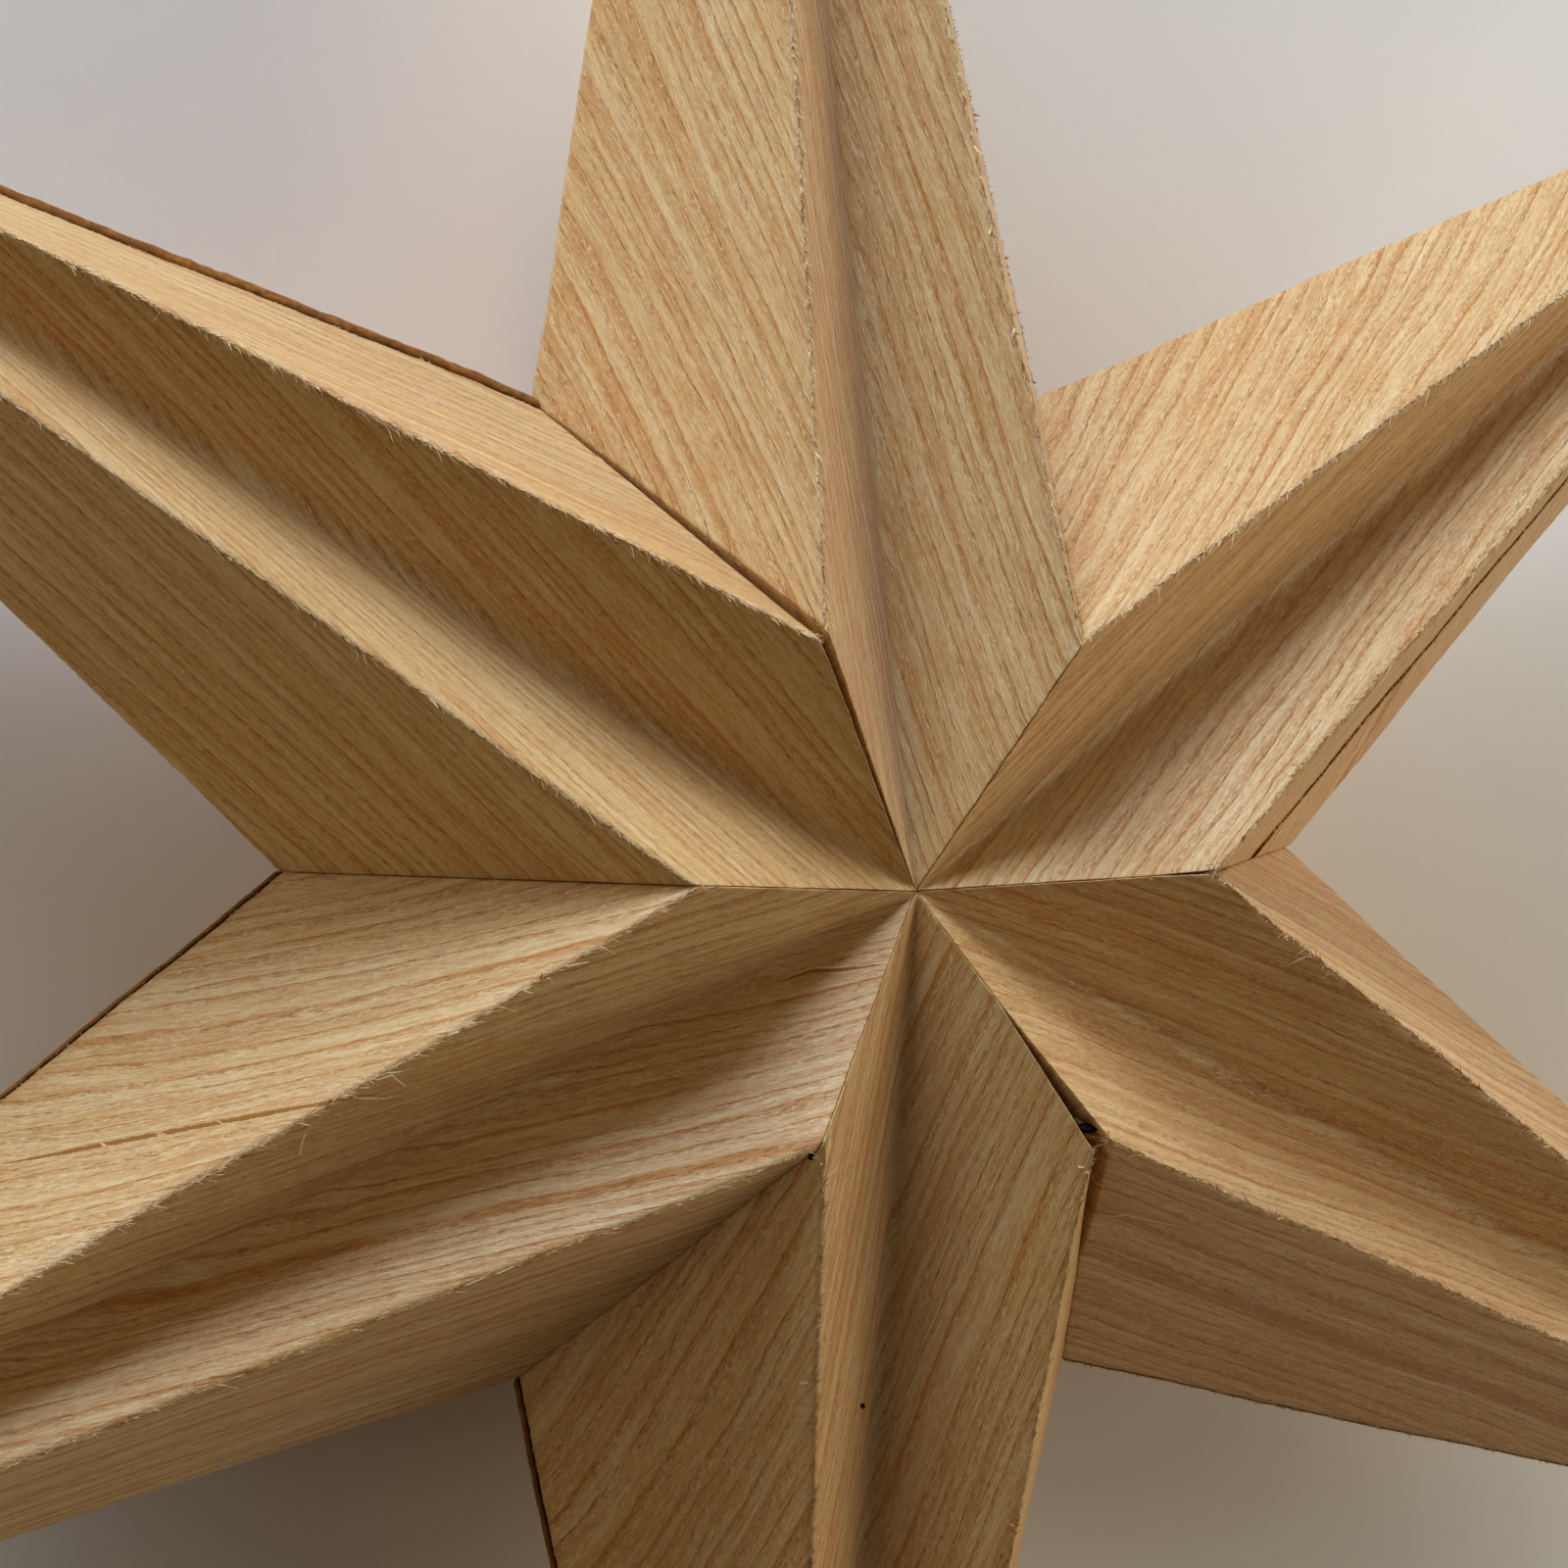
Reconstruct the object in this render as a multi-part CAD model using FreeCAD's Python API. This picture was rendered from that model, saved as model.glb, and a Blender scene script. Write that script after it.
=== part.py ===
import FreeCAD, Part
import os
from math import acos, atan2, cos, hypot, pi, radians, sin, tan
from typing import NamedTuple

# Folded wood-veneer star, millimetres.
# Six separate arms, each one sheet folded lengthwise into a tapering tube,
# cut to a mitre at the hub and glued to its neighbours by turned-in flaps.
# Each arm is drawn along +X from the hub axis, with the outline level at Z = 0,
# and is then turned to its own direction. The star lies on its back folds.

V = FreeCAD.Vector


class Arm(NamedTuple):
    """One arm and the mitre seam on its anticlockwise side."""

    name: str
    direction: float        # degrees, anticlockwise from +X, seen from the front
    seam: float             # degrees
    notch_radius: float     # hub axis to the inner corner of the outline at that seam
    opening: float          # how wide the seam gapes at the ridge junction


# Driving dimensions: the arms, hand cut and so a little uneven, anticlockwise from the top
ARMS = (
    Arm("arm_top", 90.0, 120.0, 58.6, 0.9),
    Arm("arm_upper_left", 147.5, 177.5, 57.7, 0.0),
    Arm("arm_lower_left", 206.3, 237.5, 59.9, 0.0),
    Arm("arm_bottom", 270.0, 301.8, 61.1, 1.6),
    Arm("arm_lower_right", 333.8, 363.1, 60.7, 0.3),
    Arm("arm_upper_right", 392.4, 420.3, 60.2, 0.0),
)
LAPPED_ARM = "arm_upper_right"

# Driving dimensions: hub
junction_radius = 29.0       # hub axis to the point where two ridges meet
junction_height = 39.5       # that point above the outline level
centre_height = 29.4         # the six valleys' common point above the outline level

# Driving dimensions: tips
tip_radius = 195.0           # hub axis to the point that an arm's folds run to
tip_drop = 9.0               # that point below the outline level
tip_bluntness = 0.02         # share of the hub section left where the tip is cut off
pinch_share = 0.06           # share of the hub section below which the plies are pressed solid

# Driving dimensions: sheet and folds
sheet = 0.6                  # veneer thickness
valley_bend_hub = 0.8        # visible radius of the valley fold near the hub
valley_bend_mid = 2.4        # the same, where it is widest
valley_bend_tip = 0.12       # the same, at the tip
valley_bend_place = 60.0     # hub axis to where the valley fold is widest
ridge_bend_tip = 0.12        # outer radius of the ridge and outline folds at the tip
bend_flats = 4               # flats that each bend is drawn with, so that every face is flat
flap_width = 6.0             # glue flap turned in behind each mitred edge
slit_width = 1.4             # the front flank stops this far short of the clockwise outline
slit_end_share = 0.1         # share of the hub section where that slit closes

# Driving dimensions: the lap, where one arm's closing ply runs up over its front flank
lap_start = 0.42             # free edge at the hub, as a share of the flank
lap_end = 0.86               # free edge at the outer end, as a share of the flank
lap_length = 118.0           # length of the lap outward from the hub axis
lap_proud = 0.6              # how far the lapped ply stands off the flank

# Dependent sizes
ridge_bend = sheet           # a scored fold is sharp inside and one sheet round outside
overrun = 5.0                # each cutting body passes the faces it cuts by this much
crest_share = 1.3            # an opened seam's wedge is drawn to this multiple of the junction
reach = 2.0 * tip_radius
tallest = 4.0 * junction_height


class Fan(NamedTuple):
    """An arm's two mitre seams, measured from its own direction in radians."""

    left: float             # anticlockwise seam, positive
    right: float            # clockwise seam, positive
    left_notch: float
    right_notch: float


def unit(start, end):
    """Unit direction from start to end, in section coordinates."""
    length = hypot(end[0] - start[0], end[1] - start[1])
    return ((end[0] - start[0]) / length, (end[1] - start[1]) / length)


def moved(point, *steps):
    """Point moved by each (direction, distance), in section coordinates."""
    y = point[0] + sum(direction[0] * distance for direction, distance in steps)
    z = point[1] + sum(direction[1] * distance for direction, distance in steps)
    return (y, z)


def run_to_tip(start, tip, x):
    """Point at X = x on the straight fold line from start to the tip."""
    share = (x - start.x) / (tip.x - start.x)
    return start + (tip - start) * share


def on_seam(angle, radius, height):
    """Point on a mitre plane, by its angle from the arm, radius and height."""
    return V(radius * cos(angle), radius * sin(angle), height)


def fold_starts(fan):
    """Where the eight fold lines leave the mitre planes, clockwise outline first."""
    front = [
        on_seam(-fan.right, fan.right_notch, 0.0),
        on_seam(-fan.right, junction_radius, junction_height),
        V(0.0, 0.0, centre_height),
        on_seam(fan.left, junction_radius, junction_height),
        on_seam(fan.left, fan.left_notch, 0.0),
    ]
    back = [V(p.x, p.y, -p.z) for p in reversed(front[1:4])]
    return front + back


def inset(corners, depth):
    """Move every side of a clockwise or anticlockwise outline inward by depth."""
    count = len(corners)
    area = sum(
        corners[i][0] * corners[(i + 1) % count][1] - corners[(i + 1) % count][0] * corners[i][1]
        for i in range(count)
    )
    turn = 1.0 if area > 0 else -1.0
    inner = []
    for i in range(count):
        before, here, after = corners[i - 1], corners[i], corners[(i + 1) % count]
        first = atan2(here[1] - before[1], here[0] - before[0])
        second = atan2(after[1] - here[1], after[0] - here[0])
        middle = ((-sin(first) - sin(second)) * turn, (cos(first) + cos(second)) * turn)
        scale = depth * 2.0 / (middle[0] ** 2 + middle[1] ** 2)
        inner.append((here[0] + middle[0] * scale, here[1] + middle[1] * scale))
    return inner


def bend(before, here, after, radius):
    """Points along the bend at a corner, in section coordinates, or the corner if radius is 0."""
    if radius <= 0:
        return [here]
    into = unit(here, before)
    out = unit(here, after)
    opening = acos(into[0] * out[0] + into[1] * out[1])
    setback = radius / tan(opening / 2.0)
    start = moved(here, (into, setback))
    halfway = unit((0.0, 0.0), (into[0] + out[0], into[1] + out[1]))
    centre = moved(here, (halfway, radius / sin(opening / 2.0)))
    spoke = (start[0] - centre[0], start[1] - centre[1])
    side = 1.0 if into[0] * out[1] - into[1] * out[0] < 0 else -1.0
    points = []
    for step in range(bend_flats + 1):
        turn = side * (pi - opening) * step / bend_flats
        y = centre[0] + spoke[0] * cos(turn) - spoke[1] * sin(turn)
        z = centre[1] + spoke[0] * sin(turn) + spoke[1] * cos(turn)
        points.append((y, z))
    return points


def section(x, corners, radii):
    """Closed run of points at X = x, with a bend at each corner that has a radius."""
    count = len(corners)
    points = []
    for i in range(count):
        points += bend(corners[i - 1], corners[i], corners[(i + 1) % count], radii[i])
    return [V(x, y, z) for y, z in points]


def solid_of(faces):
    """Solid that a closed set of faces encloses."""
    shell = Part.Shell(faces)
    shell.sewShape()
    solid = Part.Solid(shell)
    if solid.Volume < 0:
        solid.reverse()
    return solid


def skin(stations):
    """Solid through sections given as (x, corners, radii), with flat sides between them."""
    sections = [section(*station) for station in stations]
    faces = [Part.Face(Part.makePolygon(ends + ends[:1])) for ends in (sections[0], sections[-1])]
    for near, far in zip(sections, sections[1:]):
        for i in range(len(near)):
            side = [near[i - 1], near[i], far[i], far[i - 1], near[i - 1]]
            faces.append(Part.Face(Part.makePolygon(side)))
    return solid_of(faces)


def share_x(share):
    """X where a section has shrunk to a share of the section at the hub axis."""
    return tip_radius * (1.0 - share)


END_X = share_x(tip_bluntness)


def valley_bend(x):
    """Visible valley radius: growing to its widest place, then shrinking to the tip."""
    if x <= valley_bend_place:
        grown = max(x, 0.0) / valley_bend_place
        return valley_bend_hub + (valley_bend_mid - valley_bend_hub) * grown
    worn = (x - valley_bend_place) / (END_X - valley_bend_place)
    return valley_bend_mid + (valley_bend_tip - valley_bend_mid) * worn


def arm_corners(fan, x):
    """Corners of the folded outline at X = x, as (y, z), clockwise outline first."""
    tip = V(tip_radius, 0.0, -tip_drop)
    points = [run_to_tip(start, tip, x) for start in fold_starts(fan)]
    return [(p.y, p.z) for p in points]


def bends(valley, other):
    """Radii for the eight corners: one for the two valleys and one for the rest."""
    return [valley if i in (2, 6) else other for i in range(8)]


def filled_arm(fan):
    """The arm's outer form, solid, from behind the hub axis to the blunt tip."""
    stations = []
    for x in (-overrun, valley_bend_place, END_X):
        ridge = ridge_bend + (ridge_bend_tip - ridge_bend) * max(x, 0.0) / END_X
        stations.append((x, arm_corners(fan, x), bends(valley_bend(x), ridge)))
    return skin(stations)


def arm_cavity(fan):
    """The space inside the sheet, up to where the plies are pressed together."""
    stations = []
    for x in (-overrun, valley_bend_place, share_x(pinch_share)):
        stations.append((x, inset(arm_corners(fan, x), sheet), bends(valley_bend(x) + sheet, 0.0)))
    return skin(stations)


def arm_core(fan):
    """The space inside the glue flaps, near the hub only."""
    stations = []
    for x in (-overrun, max(fan.left_notch, fan.right_notch) + overrun):
        stations.append((x, inset(arm_corners(fan, x), flap_width), bends(0.0, 0.0)))
    return skin(stations)


def sector_wedge(fan, inward):
    """The arm's share of the circle, with both mitre planes moved inward."""
    middle = (fan.left - fan.right) / 2.0
    apex = on_seam(middle, inward / sin((fan.left + fan.right) / 2.0), -tallest / 2.0)
    corners = [apex, apex + on_seam(-fan.right, reach, 0.0), apex + on_seam(fan.left, reach, 0.0), apex]
    return Part.Face(Part.makePolygon(corners)).extrude(V(0, 0, tallest))


def slit_cutter(fan):
    """Body that cuts the front flank short of the clockwise outline."""
    margin = slit_width + sheet
    stations = []
    for x in (-overrun, share_x(slit_end_share)):
        corners = arm_corners(fan, x)
        edge = corners[0]
        along_front = unit(edge, corners[1])
        along_back = unit(edge, corners[-1])
        into_front = (along_front[1], -along_front[0])
        into_back = (-along_back[1], along_back[0])
        shape = [
            moved(edge, (into_back, sheet), (along_back, -margin)),
            moved(edge, (into_back, sheet), (along_back, margin)),
            moved(edge, (along_front, slit_width), (into_front, margin)),
            moved(edge, (along_front, slit_width), (into_front, -margin)),
        ]
        stations.append((x, shape, [0.0] * 4))
    return skin(stations)


def lap_ply(fan):
    """The closing ply that runs up over the front flank on the clockwise side."""
    stations = []
    for x, share in ((-overrun, lap_start), (lap_length, lap_end)):
        corners = arm_corners(fan, x)
        edge, ridge = corners[0], corners[1]
        along = unit(edge, ridge)
        away = (-along[1], along[0])
        climb = hypot(ridge[0] - edge[0], ridge[1] - edge[1]) * share
        shape = [
            moved(edge, (away, -sheet / 2.0)),
            moved(edge, (away, -sheet / 2.0), (along, climb)),
            moved(edge, (away, lap_proud), (along, climb)),
            moved(edge, (away, lap_proud)),
        ]
        stations.append((x, shape, [0.0] * 4))
    return skin(stations)


def opening_cutter(angle, notch_radius, width):
    """Four-cornered wedge that opens one side of a seam, widest above the ridge junction."""
    crest = on_seam(angle, junction_radius * crest_share, junction_height * crest_share)
    side = 1.0 if angle > 0 else -1.0
    inward = V(sin(angle) * side, -cos(angle) * side, 0)
    corners = [
        V(0, 0, centre_height),
        on_seam(angle, notch_radius, 0.0),
        crest,
        crest + inward * (width / 2.0 * crest_share),
    ]
    faces = []
    for left_out in corners:
        a, b, c = [corner for corner in corners if corner is not left_out]
        faces.append(Part.Face(Part.makePolygon([a, b, c, a])))
    return solid_of(faces)


def folded_arm(arm, clockwise):
    """One arm: a sheet folded to a tube, mitred, with glue flaps and its closing edge."""
    left = radians((arm.seam - arm.direction) % 360.0)
    right = radians((arm.direction - clockwise.seam) % 360.0)
    fan = Fan(left, right, arm.notch_radius, clockwise.notch_radius)
    folded = filled_arm(fan).common(sector_wedge(fan, 0.0))
    if arm.name == LAPPED_ARM:
        folded = folded.fuse(lap_ply(fan).common(sector_wedge(fan, 0.0)))
    folded = folded.cut(arm_cavity(fan).common(sector_wedge(fan, sheet)))
    folded = folded.cut(arm_core(fan))
    if arm.name != LAPPED_ARM:
        folded = folded.cut(slit_cutter(fan))
    if arm.opening > 0:
        folded = folded.cut(opening_cutter(left, fan.left_notch, arm.opening))
    if clockwise.opening > 0:
        folded = folded.cut(opening_cutter(-right, fan.right_notch, clockwise.opening))
    if len(folded.Solids) != 1 or not folded.isValid():
        raise RuntimeError(f"{arm.name} came out as {len(folded.Solids)} solids")
    return folded.Solids[0].rotated(V(0, 0, 0), V(0, 0, 1), arm.direction)


def main():
    """Build the six arms, stand the star on its back folds and write one file each."""
    shapes = [folded_arm(arm, ARMS[index - 1]) for index, arm in enumerate(ARMS)]
    box = Part.makeCompound(shapes).BoundBox
    seat = V(-box.Center.x, -box.Center.y, -box.ZMin)
    os.makedirs("parts", exist_ok=True)
    for arm, shape in zip(ARMS, shapes):
        placed = shape.translated(seat)
        placed.exportStep(os.path.join("parts", arm.name + ".step"))
        print(arm.name, round(placed.Volume), "cubic mm, valid", placed.isValid())
    print("box", round(box.XLength, 1), round(box.YLength, 1), round(box.ZLength, 1))
    print("hub axis at", round(seat.x, 3), round(seat.y, 3), round(seat.z, 3))


main()
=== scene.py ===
import logging
import math
from dataclasses import dataclass, field
from enum import Enum
from typing import Optional

import bpy
import numpy as np
from mathutils import Matrix, Vector
from mathutils.bvhtree import BVHTree


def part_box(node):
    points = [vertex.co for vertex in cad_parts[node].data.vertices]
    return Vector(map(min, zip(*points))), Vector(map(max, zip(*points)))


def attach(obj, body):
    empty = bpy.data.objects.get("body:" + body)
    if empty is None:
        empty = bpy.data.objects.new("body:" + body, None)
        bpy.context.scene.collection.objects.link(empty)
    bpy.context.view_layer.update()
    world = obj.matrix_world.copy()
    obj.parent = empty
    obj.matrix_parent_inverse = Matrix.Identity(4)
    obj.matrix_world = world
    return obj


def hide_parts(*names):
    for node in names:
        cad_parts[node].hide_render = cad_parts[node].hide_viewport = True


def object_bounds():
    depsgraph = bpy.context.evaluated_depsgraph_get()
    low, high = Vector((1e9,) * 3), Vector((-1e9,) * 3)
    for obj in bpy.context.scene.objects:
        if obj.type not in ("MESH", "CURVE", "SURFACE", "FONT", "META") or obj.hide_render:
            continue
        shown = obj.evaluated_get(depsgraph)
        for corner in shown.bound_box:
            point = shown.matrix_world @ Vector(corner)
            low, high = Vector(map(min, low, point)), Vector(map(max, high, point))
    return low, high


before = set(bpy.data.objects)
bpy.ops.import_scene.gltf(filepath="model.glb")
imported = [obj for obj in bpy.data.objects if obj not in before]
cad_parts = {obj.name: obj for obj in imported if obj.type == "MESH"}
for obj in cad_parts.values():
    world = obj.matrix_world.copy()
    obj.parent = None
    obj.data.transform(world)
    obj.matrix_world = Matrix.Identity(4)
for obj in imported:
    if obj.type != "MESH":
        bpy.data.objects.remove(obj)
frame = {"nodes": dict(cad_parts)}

# A six-armed star, each arm folded from one sheet of wood veneer.
# Lengths are metres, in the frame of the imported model: +Z to the front, floor at Z = 0.

CAD_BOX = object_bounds()
MM = 0.001
FRONT_CORNERS = 5
LOG = logging.getLogger("veneer_star")


class Closing(Enum):
    """How an arm's sheet closes along its clockwise outline."""

    SLIT = "front flank stops short and the back flank's rim stands out"
    LAP = "the last ply runs up over the front flank"


class Side(Enum):
    """The two mitre planes of an arm, seen from the front."""

    LEFT = 1
    RIGHT = -1


@dataclass(frozen=True)
class StarSizes:
    """Sizes of the folds and the sheet, the same as the solids have."""

    junction_radius: float = 29.0 * MM
    junction_height: float = 39.5 * MM
    centre_height: float = 29.4 * MM
    tip_radius: float = 195.0 * MM
    tip_drop: float = 9.0 * MM
    tip_share: float = 0.02
    sheet: float = 0.6 * MM
    flap: float = 5.0 * MM
    lap_start: float = 0.42
    lap_end: float = 0.86
    lap_length: float = 118.0 * MM


@dataclass(frozen=True)
class Unevenness:
    """How far folded veneer strays from straight folds, clean edges and flat faces."""

    fold_waves: tuple[float, ...] = (2.3 * MM, 5.1 * MM, 19.0 * MM, 47.0 * MM, 110.0 * MM)
    fold_swings: tuple[float, ...] = (0.030 * MM, 0.035 * MM, 0.06 * MM, 0.10 * MM, 0.16 * MM)
    front_valley_share: float = 0.6
    seam_gap: float = 0.015 * MM
    seam_ragged: float = 0.07 * MM
    seam_waves_in_stops: tuple[float, ...] = (3.1, 5.3, 11.0, 29.0)
    face_waves: tuple[float, ...] = (61.0 * MM, 34.0 * MM, 18.0 * MM)
    face_waves_in_stops: tuple[float, ...] = (21.0, 13.0, 9.0)
    face_swells: tuple[float, ...] = (0.10 * MM, 0.07 * MM, 0.035 * MM)
    calm_rows: int = 8


@dataclass(frozen=True)
class Seam:
    """A mitre seam between two arms: its angle, notch and how it gapes."""

    angle: float
    notch_radius: float
    gape: float = 0.0
    wall_from: float = 0.0
    flank_from: float = 0.0


@dataclass(frozen=True)
class VeneerCut:
    """The piece of veneer an arm is made of: grain direction and figure."""

    grain: float
    seed: float
    spacing: float
    wave: float
    line: float
    tone: float
    rim_grain: Optional[float] = None
    hollow: float = 0.0
    slit: float = 0.35 * MM
    band: float = 0.0


class Graph:
    """A shader node tree with short calls for the nodes that the finishes use."""

    def __init__(self, tree: bpy.types.NodeTree) -> None:
        """Keeps the tree that the calls add to.

        Args:
            tree: Material tree or node group.
        """
        self.tree = tree

    def add(self, kind: str, **settings: object) -> bpy.types.Node:
        """Adds a node.

        Args:
            kind: Blender's node type.
            settings: Attributes to set on it.

        Returns:
            The new node.
        """
        node = self.tree.nodes.new(kind)
        for name, value in settings.items():
            setattr(node, name, value)
        return node

    def wire(self, source: object, target: bpy.types.NodeSocket) -> None:
        """Links a socket to a target, or sets the target to a plain value.

        Args:
            source: Socket, number, colour or vector.
            target: Input that takes it.
        """
        if isinstance(source, bpy.types.NodeSocket):
            self.tree.links.new(source, target)
        else:
            target.default_value = source

    def math(self, operation: str, *values: object, clamp: bool = False) -> bpy.types.NodeSocket:
        """Adds a math node.

        Args:
            operation: Blender's name for the operation.
            values: Sockets or numbers for its inputs.
            clamp: Whether the result is kept between 0 and 1.

        Returns:
            The result's socket.
        """
        node = self.add("ShaderNodeMath", operation=operation, use_clamp=clamp)
        for value, target in zip(values, node.inputs):
            self.wire(value, target)
        return node.outputs[0]

    def vector(self, x: object, y: object, z: object) -> bpy.types.NodeSocket:
        """Joins three values into a vector.

        Args:
            x: First socket or number.
            y: Second socket or number.
            z: Third socket or number.

        Returns:
            The vector's socket.
        """
        node = self.add("ShaderNodeCombineXYZ")
        for value, target in zip((x, y, z), node.inputs):
            self.wire(value, target)
        return node.outputs[0]

    def noise(
        self, place: object, detail: float = 2.0, roughness: float = 0.5, scale: float = 1.0
    ) -> bpy.types.NodeSocket:
        """Adds smooth noise.

        Args:
            place: Vector socket that says where to read it.
            detail: How many finer layers it has.
            roughness: How strong the finer layers are.
            scale: Number of waves in one unit.

        Returns:
            Socket of the value, from 0 to 1.
        """
        node = self.add("ShaderNodeTexNoise", noise_dimensions="3D")
        self.wire(place, node.inputs["Vector"])
        node.inputs["Scale"].default_value = scale
        node.inputs["Detail"].default_value = detail
        node.inputs["Roughness"].default_value = roughness
        return node.outputs[0]

    def step(self, value: object, low: object, high: object) -> bpy.types.NodeSocket:
        """Adds a smooth step from 0 to 1.

        Args:
            value: Socket that is tested.
            low: Value that gives 0; it may be above high.
            high: Value that gives 1.

        Returns:
            The result's socket.
        """
        node = self.add("ShaderNodeMapRange", interpolation_type="SMOOTHSTEP")
        self.wire(value, node.inputs["Value"])
        self.wire(low, node.inputs["From Min"])
        self.wire(high, node.inputs["From Max"])
        return node.outputs[0]

    def blend(
        self, share: object, first: object, second: object, mode: str = "MIX"
    ) -> bpy.types.NodeSocket:
        """Mixes two colours.

        Args:
            share: How much of the second one, from 0 to 1.
            first: Colour or socket.
            second: Colour or socket.
            mode: Blender's name for the way of mixing.

        Returns:
            The result's socket.
        """
        node = self.add("ShaderNodeMix", data_type="RGBA", blend_type=mode)
        self.wire(share, node.inputs[0])
        self.wire(first, node.inputs[6])
        self.wire(second, node.inputs[7])
        return node.outputs[2]


def start_group(
    name: str, inputs: dict[str, str], outputs: dict[str, str]
) -> tuple[Graph, bpy.types.Node, bpy.types.Node]:
    """Starts a shader node group with named sockets.

    Args:
        name: The group's name.
        inputs: Kind of each input socket, by its name.
        outputs: Kind of each output socket, by its name.

    Returns:
        The graph to fill, the group's inlet and its outlet.
    """
    tree = bpy.data.node_groups.new(name, "ShaderNodeTree")
    for way, sockets in (("INPUT", inputs), ("OUTPUT", outputs)):
        for socket, kind in sockets.items():
            tree.interface.new_socket(socket, in_out=way, socket_type="NodeSocket" + kind)
    g = Graph(tree)
    return g, g.add("NodeGroupInput"), g.add("NodeGroupOutput")


@dataclass
class GrainFigure:
    """Parts of the grain group, worked out from the place in the flat sheet in mm."""

    graph: Graph
    inlet: bpy.types.Node
    mm_per_unit: float = 100.0
    seed_along: float = 173.0
    seed_across: float = 61.0

    def __post_init__(self) -> None:
        """Splits the place in the sheet into along and across the grain, and bends it."""
        g = self.graph
        split = g.add("ShaderNodeSeparateXYZ")
        g.wire(self.inlet.outputs["Sheet"], split.inputs[0])
        self.seed = self.inlet.outputs["Seed"]
        along = g.math("MULTIPLY", split.outputs[0], self.mm_per_unit)
        across = g.math("MULTIPLY", split.outputs[1], self.mm_per_unit)
        self.along = g.math("MULTIPLY_ADD", self.seed, self.seed_along, along)
        raw = g.math("MULTIPLY_ADD", self.seed, self.seed_across, across)
        broad = self.waves(0.008, 0.022, raw, 0.0, 1.0)
        bent = self.waves(0.030, 0.11, raw, 3.0, 2.0)
        curl = self.waves(0.13, 0.45, raw, 4.0, 1.0)
        fine = self.waves(0.55, 3.0, raw, 5.0, 2.0, 0.7)
        shift = g.math("MULTIPLY", self.swing(broad), 13.0)
        shift = g.math("MULTIPLY_ADD", self.swing(bent), 2.6, shift)
        shift = g.math("MULTIPLY_ADD", self.swing(curl), 0.55, shift)
        self.smooth = g.math("MULTIPLY_ADD", shift, self.inlet.outputs["Wave"], raw)
        self.rough = g.math("MULTIPLY_ADD", self.swing(fine), 0.50, self.smooth)

    def swing(self, value: bpy.types.NodeSocket) -> bpy.types.NodeSocket:
        """Moves a noise from 0 to 1 to a swing about zero."""
        return self.graph.math("SUBTRACT", value, 0.5)

    def waves(
        self,
        along: float,
        across: float,
        place: bpy.types.NodeSocket,
        layer: float,
        detail: float,
        roughness: float = 0.5,
    ) -> bpy.types.NodeSocket:
        """Adds noise that is drawn out along the grain.

        Args:
            along: Waves in a millimetre along the grain.
            across: Waves in a millimetre across it.
            place: Place across the grain.
            layer: Number that keeps this noise apart from the others.
            detail: How many finer layers it has.
            roughness: How strong the finer layers are.

        Returns:
            Socket of the value, from 0 to 1.
        """
        g = self.graph
        x = g.math("MULTIPLY", self.along, along)
        y = g.math("MULTIPLY", place, across)
        return g.noise(g.vector(x, y, g.math("ADD", self.seed, layer)), detail, roughness)

    def growth_lines(self) -> tuple[bpy.types.NodeSocket, bpy.types.NodeSocket, bpy.types.NodeSocket]:
        """Draws the growth lines, each with its own strength.

        Returns:
            Masks of the lines, of the softer band that each one has beside it, and the
            strength of the line there.
        """
        g = self.graph
        rings = g.math("DIVIDE", self.rough, self.inlet.outputs["Spacing"])
        crowd = g.noise(g.vector(0.0, g.math("MULTIPLY", self.rough, 0.13), self.seed), 1.0)
        rings = g.math("MULTIPLY_ADD", self.swing(crowd), 5.0, rings)
        place = g.math("FRACT", rings)
        chance = g.add("ShaderNodeTexWhiteNoise", noise_dimensions="2D")
        g.wire(g.vector(g.math("FLOOR", rings), self.seed, 0.0), chance.inputs["Vector"])
        luck = chance.outputs["Value"]
        end = g.math("MULTIPLY_ADD", luck, 0.14, 0.17)
        core = g.math("MULTIPLY", g.step(place, 0.0, 0.05), g.step(place, end, 0.05))
        skirt = g.math("MULTIPLY", g.step(place, 0.02, 0.06), g.step(place, 0.62, 0.08))
        worn = g.step(self.waves(0.09, 0.7, self.smooth, 9.0, 3.0, 0.6), 0.34, 0.56)
        strength = g.math("MULTIPLY_ADD", luck, 0.30, 0.70)
        strength = g.math("MULTIPLY", strength, g.math("MULTIPLY_ADD", worn, 0.65, 0.35))
        line = g.math("MULTIPLY", core, strength)
        line = g.math("MULTIPLY", line, self.inlet.outputs["Line"], clamp=True)
        return line, skirt, strength

    def pores(self, busy: bpy.types.NodeSocket) -> bpy.types.NodeSocket:
        """Scatters the open pores as dashes and specks.

        Args:
            busy: Where dashes are frequent.

        Returns:
            Their mask.
        """
        g = self.graph
        dash = self.waves(0.9, 4.6, self.smooth, 17.0, 1.0, 0.6)
        tiny = self.waves(2.2, 5.5, self.smooth, 19.0, 2.0, 0.7)
        dashes = g.math("MULTIPLY", g.step(dash, 0.56, 0.64), busy)
        specks = g.math("MULTIPLY", g.step(tiny, 0.60, 0.70), 0.40)
        return g.math("MAXIMUM", dashes, specks)


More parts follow.
